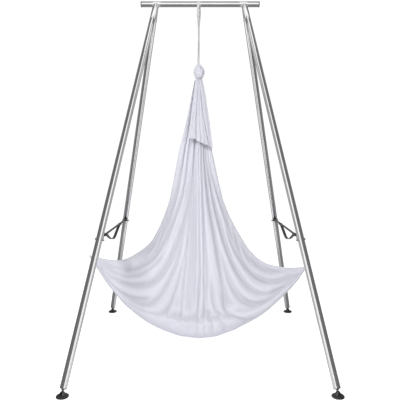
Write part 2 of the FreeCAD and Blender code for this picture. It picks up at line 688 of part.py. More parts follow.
ring = doc.addObject("Part::Torus", "rigging_ring")
ring.setExpression("Radius1", "params.ring_major")
ring.setExpression("Radius2", "params.ring_minor")
ring.Placement = Placement(Vector(hx, 0, val("ring_z")), Rotation(Vector(1, 0, 0), 90))
keep("rigging_ring", ring)

# Knot: a turned bulb with room inside for the ring and a mouth for the sling.
kt, kn, kr = val("knot_top"), val("knot_neck"), val("knot_radius")
outer = [
    (15.0, kt), (30.0, kt - 8.0), (42.0, kt - 28.0), (kr, kt - 62.0),
    (kr - 2.0, kt - 88.0), (kr - 9.0, kt - 118.0), (kr - 14.0, kn),
]
curve = Part.BSplineCurve()
curve.interpolate([Vector(x, 0, z) for x, z in outer])
inner_r = val("ring_major") + val("ring_minor") + 2.0
cz = val("ring_z")
low_in = cz - inner_r - 3.0
inside = [(15.0, kt), (15.0, cz + 36.0), (inner_r + 1.0, cz + 20.0), (inner_r + 1.0, cz - 22.0), (18.0, low_in), (0.0, low_in)]
edges = [curve.toShape()]
edges.append(Part.LineSegment(Vector(kr - 14.0, 0, kn), Vector(0, 0, kn)).toShape())
edges.append(Part.LineSegment(Vector(0, 0, kn), Vector(0, 0, low_in)).toShape())
chain = [Vector(x, 0, z) for x, z in reversed(inside)]
for a, b in zip(chain[:-1], chain[1:]):
    edges.append(Part.LineSegment(a, b).toShape())
knot_face = Part.Face(Part.Wire(Part.__sortEdges__(edges)))
knot = knot_face.revolve(Vector(0, 0, 0), Vector(0, 0, 1), 360)
feature("hammock_knot", knot, Placement(Vector(hx, 0, 0), Rotation()))

# Hammock fabric: one sheet from the front of the knot down round the seat and
# back up behind. Outline points are (x, z) of the sheet's long edges and seat line.
LEFT_EDGE = [
    (-33, 2271.5), (-62, 2130), (-95, 1960), (-128, 1820), (-166, 1674), (-214, 1416), (-250, 1244), (-296, 1113),
    (-337, 1021), (-407, 896), (-460, 843), (-520, 798), (-598, 752), (-655, 730), (-756, 732),
    (-860, 752), (-925, 768),
]
RIGHT_EDGE = [
    (33, 2271.5), (57, 2130), (80, 1960), (97, 1820), (112, 1674), (166, 1416), (209, 1244), (260, 1120), (322, 1000),
    (380, 903), (419, 837), (498, 752), (590, 697), (668, 679), (767, 664), (870, 668), (925, 674),
]
SEAT_LEFT = [(0, 66), (150, 80), (300, 128), (420, 180), (506, 230), (620, 312), (700, 392), (790, 490), (860, 585), (925, 700)]
SEAT_RIGHT = [(0, 66), (150, 80), (300, 128), (420, 178), (510, 222), (620, 300), (700, 362), (790, 445), (870, 528), (925, 610)]


def at_share(points, share):
    """Point at a share of the length of a polyline."""
    steps = [math.dist(a, b) for a, b in zip(points[:-1], points[1:])]
    want = share * sum(steps)
    for (a, b), d in zip(zip(points[:-1], points[1:]), steps):
        if want <= d:
            f = want / d
            return (a[0] + f * (b[0] - a[0]), a[1] + f * (b[1] - a[1]))
        want -= d
    return points[-1]


def at_x(points, x):
    for a, b in zip(points[:-1], points[1:]):
        if x <= b[0]:
            f = (x - a[0]) / (b[0] - a[0])
            return a[1] + f * (b[1] - a[1])
    return points[-1][1]


def sheet_point(w, v):
    """w from -1 (front of the neck) by 0 (seat line) to 1 (rear of the neck), v from -1 (left edge) to 1 (right edge)."""
    a = abs(v)
    round_share = 0.115
    belly = 152.0 * (1 - 0.93 * a ** 2.2)
    lift = belly / 2200.0
    if abs(w) < round_share:
        turn = abs(w) / round_share * math.pi / 2
        down = 1.0 - lift * (1 - math.cos(turn))
        depth = belly * math.sin(turn)
    else:
        up = (abs(w) - round_share) / (1 - round_share)
        down = (1.0 - lift) * (1 - up)
        neck = 24.0
        full = belly * (1 - 0.0 * a)
        mouth = 1 + 0.9 * a ** 3 * math.sin(math.pi * min(1.0, up * 1.6)) * (1 if up < 0.625 else 0)
        depth = neck + (full * mouth - neck) * (1 - up) ** 1.15
    edge = at_share(LEFT_EDGE if v < 0 else RIGHT_EDGE, down)
    tip = (LEFT_EDGE if v < 0 else RIGHT_EDGE)[-1]
    seat = SEAT_LEFT if v < 0 else SEAT_RIGHT
    x = a * edge[0]
    rise = (at_x(seat, a * abs(tip[0])) - seat[0][1]) / (seat[-1][1] - seat[0][1])
    middle = 2271.5 + (seat[0][1] - 2271.5) * down
    z = middle + (edge[1] - middle) * (rise * down + (a ** 2.0) * (1 - down))
    return Vector(hx + x, math.copysign(depth, w) if abs(w) > 1e-9 else 0.0, z)


def sheet_solid():
    ws = [-1 + 2.0 * i / 36 for i in range(37)]
    vs = [-1 + 2.0 * j / 20 for j in range(21)]
    grid = [[sheet_point(w, v) for v in vs] for w in ws]
    middle = Part.BSplineSurface()
    middle.interpolate(grid)
    half = val("fabric_half")
    skins = []
    for sign in (1, -1):
        moved = []
        for i in range(len(ws)):
            line = []
            for j in range(len(vs)):
                a = grid[max(i - 1, 0)][j]
                b = grid[min(i + 1, len(ws) - 1)][j]
                c = grid[i][max(j - 1, 0)]
                d = grid[i][min(j + 1, len(vs) - 1)]
                n = (b - a).cross(d - c)
                line.append(grid[i][j] + n.normalize() * (half * sign))
            moved.append(line)
        s = Part.BSplineSurface()
        s.interpolate(moved)
        skins.append(s)
    faces = [skins[0].toShape(), skins[1].toShape()]
    a, b = skins
    bounds = []
    for s in (a, b):
        u0, u1, v0, v1 = s.bounds()
        bounds.append([s.uIso(u0), s.uIso(u1), s.vIso(v0), s.vIso(v1)])
    for p, q in zip(*bounds):
        faces.append(Part.makeRuledSurface(p.toShape(), q.toShape()))
    shell = Part.makeShell(faces)
    shell.sewShape()
    solid = Part.makeSolid(Part.Shell(shell.Faces) if shell.ShapeType != "Shell" else shell)
    if solid.Volume < 0:
        solid.reverse()
    return solid


feature("hammock_fabric", sheet_solid())


def tail_solid(front, flip):
    """A loose end of the fabric that hangs from the knot in flat folds: a thin panel that widens to a slanted hem."""
    # height, near edge, far edge, distance from the middle plane, extra drop at the far edge
    rows = [
        (2271.5, -26, 30, 40, 0), (2200, -36, 50, 52, 0), (2100, -48, 66, 62, 0), (2000, -61, 80, 71, 0),
        (1900, -72, 95, 80, 4), (1830, -79, 110, 86, 48), (1776, -84, 122, 92, 84),
    ]
    grid_a, grid_b = [], []
    for z, x0, x1, y, drop in rows:
        la, lb = [], []
        for j in range(7):
            f = j / 6.0
            x = x0 + f * (x1 - x0)
            y2 = y + 5.0 * math.sin(f * math.pi * 3) * (2271.5 - z) / 500.0 - 12.0 * (abs(2 * f - 1) ** 2)
            low = z - drop * f
            la.append(Vector(hx + flip * x, front * (y2 + 4.0), low))
            lb.append(Vector(hx + flip * x, front * y2, low))
        grid_a.append(la)
        grid_b.append(lb)
    sa, sb = Part.BSplineSurface(), Part.BSplineSurface()
    sa.interpolate(grid_a)
    sb.interpolate(grid_b)
    faces = [sa.toShape(), sb.toShape()]
    for p, q in zip(
        [sa.uIso(sa.bounds()[0]), sa.uIso(sa.bounds()[1]), sa.vIso(sa.bounds()[2]), sa.vIso(sa.bounds()[3])],
        [sb.uIso(sb.bounds()[0]), sb.uIso(sb.bounds()[1]), sb.vIso(sb.bounds()[2]), sb.vIso(sb.bounds()[3])],
    ):
        faces.append(Part.makeRuledSurface(p.toShape(), q.toShape()))
    shell = Part.makeShell(faces)
    shell.sewShape()
    solid = Part.makeSolid(shell)
    if solid.Volume < 0:
        solid.reverse()
    return solid


feature("hammock_tail_front", tail_solid(-1, 1))
feature("hammock_tail_rear", tail_solid(1, -1))

# ---------------------------------------------------------------- check and write

doc.recompute()
for obj in doc.Objects:
    bad = [s for s in obj.State if s in ("Invalid", "Error")]
    if bad:
        raise RuntimeError("%s is %s" % (obj.Label, bad))
os.makedirs("parts", exist_ok=True)
for label, obj in nodes:
    shape = obj.Shape
    if shape.isNull() or not shape.isValid() or not shape.Solids:
        raise RuntimeError("%s has no valid shape" % label)
    if shape.Volume <= 0:
        raise RuntimeError("%s has no volume" % label)
for label, obj in nodes:
    obj.Shape.exportStep("parts/%s.step" % label)
print("%d nodes" % len(nodes))
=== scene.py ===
import math

import bpy
import bmesh
import numpy as np
from mathutils import Vector, Matrix


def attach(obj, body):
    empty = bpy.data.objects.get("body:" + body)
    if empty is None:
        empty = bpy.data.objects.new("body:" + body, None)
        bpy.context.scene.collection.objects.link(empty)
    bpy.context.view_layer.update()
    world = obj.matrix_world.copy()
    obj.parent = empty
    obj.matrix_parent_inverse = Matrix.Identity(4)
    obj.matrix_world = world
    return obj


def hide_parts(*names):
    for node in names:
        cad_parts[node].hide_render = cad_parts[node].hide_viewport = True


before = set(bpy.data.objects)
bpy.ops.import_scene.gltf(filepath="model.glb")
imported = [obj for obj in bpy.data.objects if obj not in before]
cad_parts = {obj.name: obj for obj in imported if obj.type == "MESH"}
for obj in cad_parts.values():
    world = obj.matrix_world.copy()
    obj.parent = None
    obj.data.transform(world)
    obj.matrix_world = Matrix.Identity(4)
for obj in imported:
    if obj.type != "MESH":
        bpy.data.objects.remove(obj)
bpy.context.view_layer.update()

scene = bpy.context.scene
HX = -0.013          # where the hammock hangs along the bar
BAR_Z = 2.925
CORNERS = [("front_left", -1, -1), ("front_right", 1, -1), ("rear_left", -1, 1), ("rear_right", 1, 1)]

# ------------------------------------------------------------------ helpers


def collection_link(obj):
    scene.collection.objects.link(obj)
    return obj


def mesh_object(name, verts, faces, smooth=True, uvs=None):
    me = bpy.data.meshes.new(name)
    me.from_pydata([tuple(v) for v in verts], [], [tuple(f) for f in faces])
    me.validate()
    me.update()
    if uvs is not None:
        layer = me.uv_layers.new(name="cloth")
        loops = np.zeros(len(me.loops), dtype=np.int64)
        me.loops.foreach_get("vertex_index", loops)
        layer.data.foreach_set("uv", np.asarray(uvs, float)[loops].ravel())
    if smooth:
        me.polygons.foreach_set("use_smooth", [True] * len(me.polygons))
    ob = bpy.data.objects.new(name, me)
    return collection_link(ob)


def grid_faces(rows, cols, close_cols=False, close_rows=False, flip=False):
    faces = []
    for i in range(rows if close_rows else rows - 1):
        for j in range(cols if close_cols else cols - 1):
            a = i * cols + j
            b = i * cols + (j + 1) % cols
            c = ((i + 1) % rows) * cols + (j + 1) % cols
            d = ((i + 1) % rows) * cols + j
            faces.append((a, d, c, b) if flip else (a, b, c, d))
    return faces


def apply_modifiers(ob):
    dg = bpy.context.evaluated_depsgraph_get()
    me = bpy.data.meshes.new_from_object(ob.evaluated_get(dg))
    ob.modifiers.clear()
    old = ob.data
    ob.data = me
    bpy.data.meshes.remove(old)


def recalc(ob):
    bm = bmesh.new()
    bm.from_mesh(ob.data)
    bmesh.ops.recalc_face_normals(bm, faces=bm.faces)
    bm.to_mesh(ob.data)
    bm.free()


def soft(x):
    x = np.clip(x, 0, 1)
    return x * x * (3 - 2 * x)




def leg_matrix(sx, sy):
    ball = Vector((sx * 0.919, sy * 0.925, 0.030))
    top = Vector((sx * 0.3777, 0, BAR_Z))
    along = (top - ball).normalized()
    out = Vector((sx, 0, 0))
    out = (out - along * out.dot(along)).normalized()
    side = along.cross(out)
    m = Matrix((out, side, along)).transposed().to_4x4()
    m.translation = ball
    return m


# ------------------------------------------------------------------ materials


class Nodes:
    def __init__(self, name):
        self.mat = bpy.data.materials.new(name)
        self.mat.use_nodes = True
        self.tree = self.mat.node_tree
        self.tree.nodes.clear()
        self.out = self.add("ShaderNodeOutputMaterial")
        self.bsdf = self.add("ShaderNodeBsdfPrincipled")
        self.link(self.bsdf, "BSDF", self.out, "Surface")

    def add(self, kind, **props):
        n = self.tree.nodes.new(kind)
        for k, v in props.items():
            setattr(n, k, v)
        return n

    def link(self, a, ka, b, kb):
        self.tree.links.new(a.outputs[ka], b.inputs[kb])

    def coords(self, rotation=None, scale=(1, 1, 1), kind="Object"):
        tc = self.add("ShaderNodeTexCoord")
        mp = self.add("ShaderNodeMapping")
        self.link(tc, kind, mp, "Vector")
        mp.inputs["Scale"].default_value = scale
        if rotation is not None:
            mp.inputs["Rotation"].default_value = rotation
        return mp

    def noise(self, src, scale, detail=4.0, rough=0.5, distort=0.0):
        n = self.add("ShaderNodeTexNoise")
        n.inputs["Scale"].default_value = scale
        n.inputs["Detail"].default_value = detail
        n.inputs["Roughness"].default_value = rough
        n.inputs["Distortion"].default_value = distort
        self.link(src, "Vector", n, "Vector")
        return n

    def ramp(self, src, key, stops):
        r = self.add("ShaderNodeValToRGB")
        while len(r.color_ramp.elements) < len(stops):
            r.color_ramp.elements.new(0.5)
        for e, (pos, col) in zip(r.color_ramp.elements, stops):
            e.position = pos
            e.color = (*col, 1) if hasattr(col, "__len__") else (col, col, col, 1)
        self.link(src, key, r, "Fac")
        return r

    def bump(self, src, key, strength, distance, after=None):
        b = self.add("ShaderNodeBump")
        b.inputs["Strength"].default_value = strength
        b.inputs["Distance"].default_value = distance
        self.link(src, key, b, "Height")
        if after is not None:
            self.link(after, "Normal", b, "Normal")
        return b


def steel(name, direction=(0, 0, 1), base=(0.70, 0.70, 0.71), low=0.09, high=0.19, streak=220.0):
    """Polished stainless tube: fine brushing that runs along the tube, faint smudges and hairline scratches."""
    m = Nodes(name)
    d = Vector(direction).normalized()
    q = d.rotation_difference(Vector((0, 0, 1)))
    rot = q.to_euler()
    mp = m.add("ShaderNodeMapping")
    tc = m.add("ShaderNodeTexCoord")
    m.link(tc, "Object", mp, "Vector")
    mp.inputs["Rotation"].default_value = rot
    mp2 = m.add("ShaderNodeMapping")
    m.link(mp, "Vector", mp2, "Vector")
    mp2.inputs["Scale"].default_value = (streak, streak, 3.0)
    fine = m.noise(mp2, 4.0, 3.0, 0.6)
    smudge = m.noise(mp, 7.0, 3.0, 0.55, 0.4)
    mix = m.add("ShaderNodeMix", data_type="FLOAT")
    mix.inputs[0].default_value = 0.45
    m.tree.links.new(fine.outputs["Fac"], mix.inputs[2])
    m.tree.links.new(smudge.outputs["Fac"], mix.inputs[3])
    rough = m.add("ShaderNodeMapRange")
    m.tree.links.new(mix.outputs[0], rough.inputs["Value"])
    rough.inputs["From Min"].default_value = 0.3
    rough.inputs["From Max"].default_value = 0.7
    rough.inputs["To Min"].default_value = low
    rough.inputs["To Max"].default_value = high
    m.link(rough, "Result", m.bsdf, "Roughness")
    tone = m.ramp(smudge, "Fac", [(0.3, tuple(c * 0.94 for c in base)), (0.7, base)])
    m.link(tone, "Color", m.bsdf, "Base Color")
    m.bsdf.inputs["Metallic"].default_value = 1.0
    b = m.bump(fine, "Fac", 0.05, 0.0002)
    m.link(b, "Normal", m.bsdf, "Normal")
    return m.mat


def plain_metal(name, base, low, high, scale=60.0, bump=0.06):
    m = Nodes(name)
    mp = m.coords()
    n = m.noise(mp, scale, 5.0, 0.6)
    tone = m.ramp(n, "Fac", [(0.25, tuple(c * 0.82 for c in base)), (0.75, base)])
    m.link(tone, "Color", m.bsdf, "Base Color")
    rough = m.add("ShaderNodeMapRange")
    m.link(n, "Fac", rough, "Value")
    rough.inputs["To Min"].default_value = low
    rough.inputs["To Max"].default_value = high
    m.link(rough, "Result", m.bsdf, "Roughness")
    m.bsdf.inputs["Metallic"].default_value = 1.0
    b = m.bump(n, "Fac", bump, 0.0004)
    m.link(b, "Normal", m.bsdf, "Normal")
    return m.mat


def moulded(name, base, rough_low, rough_high, grain=900.0, depth=0.00015, wear=0.06):
    """Moulded plastic or rubber: fine grain, paler rubbed patches."""
    m = Nodes(name)
    mp = m.coords()
    big = m.noise(mp, 14.0, 4.0, 0.6)
    tone = m.ramp(big, "Fac", [(0.35, base), (0.75, tuple(min(1, c + wear * 0.35) for c in base))])
    m.link(tone, "Color", m.bsdf, "Base Color")
    rough = m.add("ShaderNodeMapRange")
    m.link(big, "Fac", rough, "Value")
    rough.inputs["To Min"].default_value = rough_low
    rough.inputs["To Max"].default_value = rough_high
    m.link(rough, "Result", m.bsdf, "Roughness")
    small = m.noise(mp, grain, 2.0, 0.5)
    b = m.bump(small, "Fac", 0.5, depth)
    m.link(b, "Normal", m.bsdf, "Normal")
    return m.mat


def webbing(name, base, light, rib=0.0021, sheen=0.25, kind="UV", dust=0.5):
    """Flat woven webbing: cross ribs and lengthwise warp, from the strip's own flat measurements (metres)."""
    m = Nodes(name)
    uv = m.coords(kind=kind)
    sep = m.add("ShaderNodeSeparateXYZ")
    m.link(uv, "Vector", sep, "Vector")

    def wave(axis, pitch, shift=None):
        mul = m.add("ShaderNodeMath", operation="MULTIPLY")
        mul.inputs[1].default_value = 2 * math.pi / pitch
        m.link(sep, axis, mul, 0)
        src = mul
        if shift is not None:
            add = m.add("ShaderNodeMath", operation="ADD")
            m.link(mul, "Value", add, 0)
            m.link(shift, "Value", add, 1)
            src = add
        sn = m.add("ShaderNodeMath", operation="SINE")
        m.link(src, "Value", sn, 0)
        return sn

    warp = wave("X", rib * 0.9)
    half = m.add("ShaderNodeMath", operation="MULTIPLY")
    half.inputs[1].default_value = 1.6
    m.link(warp, "Value", half, 0)
    weft = wave("Y", rib, half)
    mul = m.add("ShaderNodeMath", operation="MULTIPLY")
    m.link(warp, "Value", mul, 0)
    m.link(weft, "Value", mul, 1)
    fuzz = m.noise(m.coords(kind="Object"), 900.0, 3.0, 0.6)
    tone = m.ramp(mul, "Value", [(0.0, base), (1.0, light)])
    shade = m.add("ShaderNodeMix", data_type="RGBA", blend_type="MULTIPLY")
    shade.inputs[0].default_value = dust
    m.tree.links.new(tone.outputs["Color"], shade.inputs[6])
    m.tree.links.new(fuzz.outputs["Fac"], shade.inputs[7])
    m.tree.links.new(shade.outputs[2], m.bsdf.inputs["Base Color"])
    m.bsdf.inputs["Roughness"].default_value = 0.78
    m.bsdf.inputs["Sheen Weight"].default_value = sheen
    m.bsdf.inputs["Sheen Roughness"].default_value = 0.45
    b = m.bump(mul, "Value", 0.7, 0.0004)
    b2 = m.bump(fuzz, "Fac", 0.3, 0.0002, after=b)
    m.link(b2, "Normal", m.bsdf, "Normal")
    return m.mat


def tricot(name, knit="UV", hem=None):
    """Pale lavender knitted nylon: fine wales, soft sheen, creases, painted shade in the folds, and a stitched hem
    along the selvedges.
    """
    m = Nodes(name)
    mp = m.coords()
    blot = m.noise(mp, 1.3, 3.0, 0.5)
    tone = m.ramp(blot, "Fac", [(0.3, (0.735, 0.735, 0.815)), (0.7, (0.775, 0.775, 0.845))])
    m.bsdf.inputs["Roughness"].default_value = 0.62
    m.bsdf.inputs["Sheen Weight"].default_value = 0.35
    m.bsdf.inputs["Sheen Roughness"].default_value = 0.35
    m.bsdf.inputs["Sheen Tint"].default_value = (0.93, 0.93, 1.0, 1.0)
    m.bsdf.inputs["Specular IOR Level"].default_value = 0.3
    m.bsdf.inputs["Subsurface Weight"].default_value = 0.0
    uv = m.coords(kind=knit)
    wale = m.add("ShaderNodeTexWave")
    wale.bands_direction = "X"
    wale.inputs["Scale"].default_value = 210.0
    wale.inputs["Distortion"].default_value = 1.2
    wale.inputs["Detail"].default_value = 1.0
    m.link(uv, "Vector", wale, "Vector")
    # painted shade: the cloth's colour is made deeper down in its folds and a little paler on their ridges, read from
    # the valley attribute
    deep = m.add("ShaderNodeAttribute", attribute_name="valley")
    shade = m.add("ShaderNodeMapRange")
    m.link(deep, "Fac", shade, "Value")
    shade.inputs["From Min"].default_value = -1.0
    shade.inputs["From Max"].default_value = 1.0
    shade.inputs["To Min"].default_value = 1.03
    shade.inputs["To Max"].default_value = 0.815
    scale = m.add("ShaderNodeVectorMath", operation="SCALE")
    m.link(tone, "Color", scale, 0)
    m.link(shade, "Result", scale, "Scale")
    m.link(scale, "Vector", m.bsdf, "Base Color")
    course = m.add("ShaderNodeTexWave")
    course.bands_direction = "Y" if knit == "UV" else "Z"
    course.inputs["Scale"].default_value = 260.0
    course.inputs["Distortion"].default_value = 1.0
    m.link(uv, "Vector", course, "Vector")
    crinkle = m.noise(mp, 28.0, 6.0, 0.62, 0.3)
    b = m.bump(wale, "Fac", 0.20, 0.0003)
    b2 = m.bump(course, "Fac", 0.12, 0.0003, after=b)
    b3 = m.bump(crinkle, "Fac", 0.16, 0.004, after=b2)
    last = b3
    if hem is not None:
        # distance from the nearer selvedge, in metres of flat cloth
        sep = m.add("ShaderNodeSeparateXYZ")
        m.link(uv, "Vector", sep, "Vector")
        pp = m.add("ShaderNodeMath", operation="PINGPONG")
        pp.inputs[1].default_value = hem[0] / 2
        m.link(sep, "X", pp, 0)
        line = m.add("ShaderNodeMapRange", interpolation_type="SMOOTHSTEP")
        m.link(pp, "Value", line, "Value")
        line.inputs["From Min"].default_value = 0.018
        line.inputs["From Max"].default_value = 0.024
        line.inputs["To Min"].default_value = 1.0
        line.inputs["To Max"].default_value = 0.0
        last = m.bump(line, "Result", 0.8, 0.0025, after=b3)
    m.link(last, "Normal", m.bsdf, "Normal")
    return m.mat


MAT = {}
for corner, sx, sy in CORNERS:
    MAT["leg_" + corner] = steel("steel_leg_" + corner, leg_matrix(sx, sy).col[2].xyz)
MAT["bar"] = steel("steel_bar", (1, 0, 0))
MAT["fork"] = steel("steel_fork", (0, 0, 1))
MAT["sleeve"] = plain_metal("zinc_sleeve", (0.52, 0.52, 0.54), 0.3, 0.5)
MAT["bolt"] = plain_metal("zinc_bolt", (0.60, 0.60, 0.61), 0.22, 0.42, 180.0)
MAT["dark_steel"] = plain_metal("oiled_steel", (0.16, 0.16, 0.165), 0.30, 0.5, 160.0, 0.15)
MAT["cup"] = plain_metal("pressed_cup", (0.10, 0.10, 0.102), 0.14, 0.28, 90.0)
MAT["ring"] = plain_metal("steel_ring", (0.66, 0.66, 0.67), 0.2, 0.35)
MAT["rubber"] = moulded("black_rubber", (0.018, 0.018, 0.019), 0.5, 0.72, 700.0, 0.0003, 0.05)
MAT["plug"] = moulded("black_plug", (0.022, 0.022, 0.024), 0.4, 0.6)
MAT["cap"] = moulded("grey_cap", (0.16, 0.16, 0.165), 0.32, 0.5, 800.0, 0.0001, 0.2)
MAT["buckle"] = moulded("black_buckle", (0.014, 0.014, 0.015), 0.34, 0.52, 1100.0, 0.0001, 0.04)
MAT["strap"] = webbing("black_webbing", (0.004, 0.004, 0.0045), (0.018, 0.018, 0.019))
MAT["strap_main"] = webbing("black_webbing_main", (0.004, 0.004, 0.0045), (0.018, 0.018, 0.019), kind="Object")
MAT["elastic"] = webbing("black_elastic", (0.012, 0.012, 0.013), (0.06, 0.06, 0.062), 0.0011, kind="Object")
MAT["sling"] = webbing("grey_webbing", (0.68, 0.68, 0.67), (0.92, 0.92, 0.91), 0.0024, 0.3, dust=0.22)
MAT["fabric"] = tricot("lavender_tricot", hem=(2.4, 4.5))
MAT["fabric_plain"] = tricot("lavender_tricot_end", knit="Object")


def set_material(ob, mat):
    ob.data.materials.clear()
    ob.data.materials.append(mat)


for name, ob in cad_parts.items():
    if name == "top_bar":
        key = "bar"
    elif name.startswith(("upper_leg_", "lower_leg_")):
        key = "leg_" + name.split("leg_")[1]
    elif name.startswith("leg_fork"):
        key = "fork"
    elif name.startswith(("leg_spigot", "leg_coupler")):
        key = "sleeve"
    elif name.startswith(("leg_joint_bolts", "leg_top_screws")):
        key = "bolt"
    elif name.startswith(("foot_stem", "foot_locknuts")):
        key = "dark_steel"
    elif name.startswith("foot_cup"):
        key = "cup"
    elif name.startswith("foot_pad"):
        key = "rubber"
    elif name.startswith("leg_end_plug"):
        key = "plug"
    elif name.startswith("bar_end_cap"):
        key = "cap"
    elif name.startswith(("strap_buckle", "strap_anchor", "buckle_lever")):
        key = "buckle"
    elif name.startswith(("buckle_pins", "rigging_ring")):
        key = "ring"
    elif name.startswith("strap_keepers"):
        key = "elastic"
    elif name.startswith("strap"):
        key = "strap_main"
    elif name.startswith("hanging_sling"):
        key = "sling"
    else:
        key = "fabric"
    set_material(ob, MAT[key])

# ------------------------------------------------------------------ camera

cam = bpy.data.cameras.new("camera")
cam.sensor_width = 36.0
cam.lens = 43.38
cam.shift_x = -0.0004
cam.shift_y = -0.0893
cam.dof.use_dof = False
cam_ob = collection_link(bpy.data.objects.new("camera", cam))
cam_ob.location = (0, -4.139, 1.551)
cam_ob.rotation_euler = (math.pi / 2, 0, 0)
scene.camera = cam_ob
scene.view_settings.view_transform = "Standard"
scene.view_settings.look = "None"

# ------------------------------------------------------------------ strips of webbing


def strip(name, path, across, width, thick, mat, closed=False, edge=4):
    """A flat woven strip with rounded edges along path; across holds its sideways direction at each point."""
    p = np.asarray(path, float)
    n = len(p)
    if closed:
        t = np.roll(p, -1, 0) - np.roll(p, 1, 0)
    else:
        t = np.gradient(p, axis=0)
    t /= np.linalg.norm(t, axis=1, keepdims=True)
    a = np.asarray(across, float)
    a = a - t * np.sum(a * t, 1, keepdims=True)
    a /= np.linalg.norm(a, axis=1, keepdims=True)
    b = np.cross(t, a)
    hw, ht = width / 2, thick / 2
    flat = np.linspace(-(hw - ht), hw - ht, 9)
    sec = [(x, ht) for x in flat]
    sec += [(hw - ht + ht * math.sin(q), ht * math.cos(q)) for q in np.linspace(0, math.pi, edge + 2)[1:-1]]
    sec += [(x, -ht) for x in flat[::-1]]
    sec += [(-(hw - ht) - ht * math.sin(q), -ht * math.cos(q)) for q in np.linspace(0, math.pi, edge + 2)[1:-1]]
    sec = np.array(sec)
    m = len(sec)
    s = np.r_[0, np.cumsum(np.linalg.norm(np.diff(p, axis=0), axis=1))]
    verts = (p[:, None, :] + a[:, None, :] * sec[None, :, :1] + b[:, None, :] * sec[None, :, 1:]).reshape(-1, 3)
    uv = np.stack([np.tile(sec[:, 0], (n, 1)), np.repeat(s[:, None], m, 1)], -1).reshape(-1, 2)
    faces = grid_faces(n, m, close_cols=True, close_rows=closed)
    if not closed:
        faces.append(tuple(range(m)))
        faces.append(tuple(range((n - 1) * m, n * m))[::-1])
    ob = mesh_object(name, verts, faces, uvs=uv)
    recalc(ob)
    set_material(ob, mat)
    return ob


# the loose end of each strap: out of the buckle, down in a slack loop and up into the keeper (Y, Z)
TAIL_ROUTE = [(-0.4004, 1.0076), (-0.352, 0.994), (-0.285, 0.967), (-0.200, 0.941), (-0.105, 0.925), (-0.018, 0.936),
              (0.060, 0.964), (0.132, 0.986), (0.182, 1.0006), (0.225, 1.0072), (0.262, 1.0087)]
for side, s in (("left", -1), ("right", 1)):
    line = bpy.data.curves.new("tail_line_" + side, "CURVE")
    line.dimensions = "3D"
    sp = line.splines.new("NURBS")
    sp.points.add(len(TAIL_ROUTE) - 1)
    for q, (y, z) in zip(sp.points, TAIL_ROUTE):
        q.co = (s * 0.729, y, z, 1)
    sp.order_u = 3
    sp.use_endpoint_u = True
    sp.resolution_u = 14
    line_ob = collection_link(bpy.data.objects.new("tail_line_" + side, line))
    bpy.context.view_layer.update()
    lm = bpy.data.meshes.new_from_object(line_ob)
    route = np.array([v.co[:] for v in lm.vertices])
    bpy.data.objects.remove(line_ob)
    bpy.data.meshes.remove(lm)
    tail = strip("strap_loose_end_" + side, route, np.tile([1.0, 0, 0], (len(route), 1)), 0.025, 0.0022, MAT["strap"])
    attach(tail, "frame")
    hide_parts("strap_tail_" + side)
    length = float(np.linalg.norm(np.diff(route, axis=0), axis=1).sum())
    print("strap end", side, round(length, 4))

# sling: one endless loop of webbing, round the bar above and round the ring in the knot below
big_r, small_r, low_z = 0.02535 + 0.0015, 0.00515 + 0.0015, 2.368
gap = BAR_Z - low_z
lean = math.asin((big_r - small_r) / gap)
loop = []
for q in np.linspace(-lean, math.pi + lean, 60):
    loop.append((big_r * math.cos(q), BAR_Z + big_r * math.sin(q)))
ya, za = loop[-1]
yb, zb = -small_r * math.cos(lean), low_z - small_r * math.sin(lean)
for f in np.linspace(0, 1, 90)[1:-1]:
    loop.append((ya + f * (yb - ya), za + f * (zb - za)))
for q in np.linspace(math.pi + lean, 2 * math.pi - lean, 24):
    loop.append((small_r * math.cos(q), low_z + small_r * math.sin(q)))
ya, za = loop[-1]
yb, zb = loop[0]
for f in np.linspace(0, 1, 90)[1:-1]:
    loop.append((ya + f * (yb - ya), za + f * (zb - za)))
loop = np.array(loop)
g = np.clip((loop[:, 1] - 2.66) / 0.2, 0, 1)
g = g * g * (3 - 2 * g) * np.clip((BAR_Z + 0.01 - loop[:, 1]) / 0.05, 0, 1)
side_shift = np.where(loop[:, 0] < 0, -0.0065, 0.0075) * g
ripple = 0.0012 * np.sin(loop[:, 1] * 17.0 + np.where(loop[:, 0] < 0, 0.0, 1.7)) * np.clip((2.88 - loop[:, 1]) / 0.1, 0, 1)
path = np.stack([HX + side_shift + ripple, loop[:, 0], loop[:, 1]], 1)
twist = np.clip((2.87 - loop[:, 1]) / 0.12, 0, 1) * np.clip((loop[:, 1] - 2.40) / 0.12, 0, 1)
twist = (0.78 + 0.10 * np.sin((loop[:, 1] - 2.4) * 9.0)) * twist * twist * (3 - 2 * twist)
across = np.stack([np.cos(twist), np.sin(twist), 0 * twist], 1)
sling = strip("sling_band", path, across, 0.021, 0.003, MAT["sling"], closed=True)
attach(sling, "sling")
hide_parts("hanging_sling")

# ------------------------------------------------------------------ knot



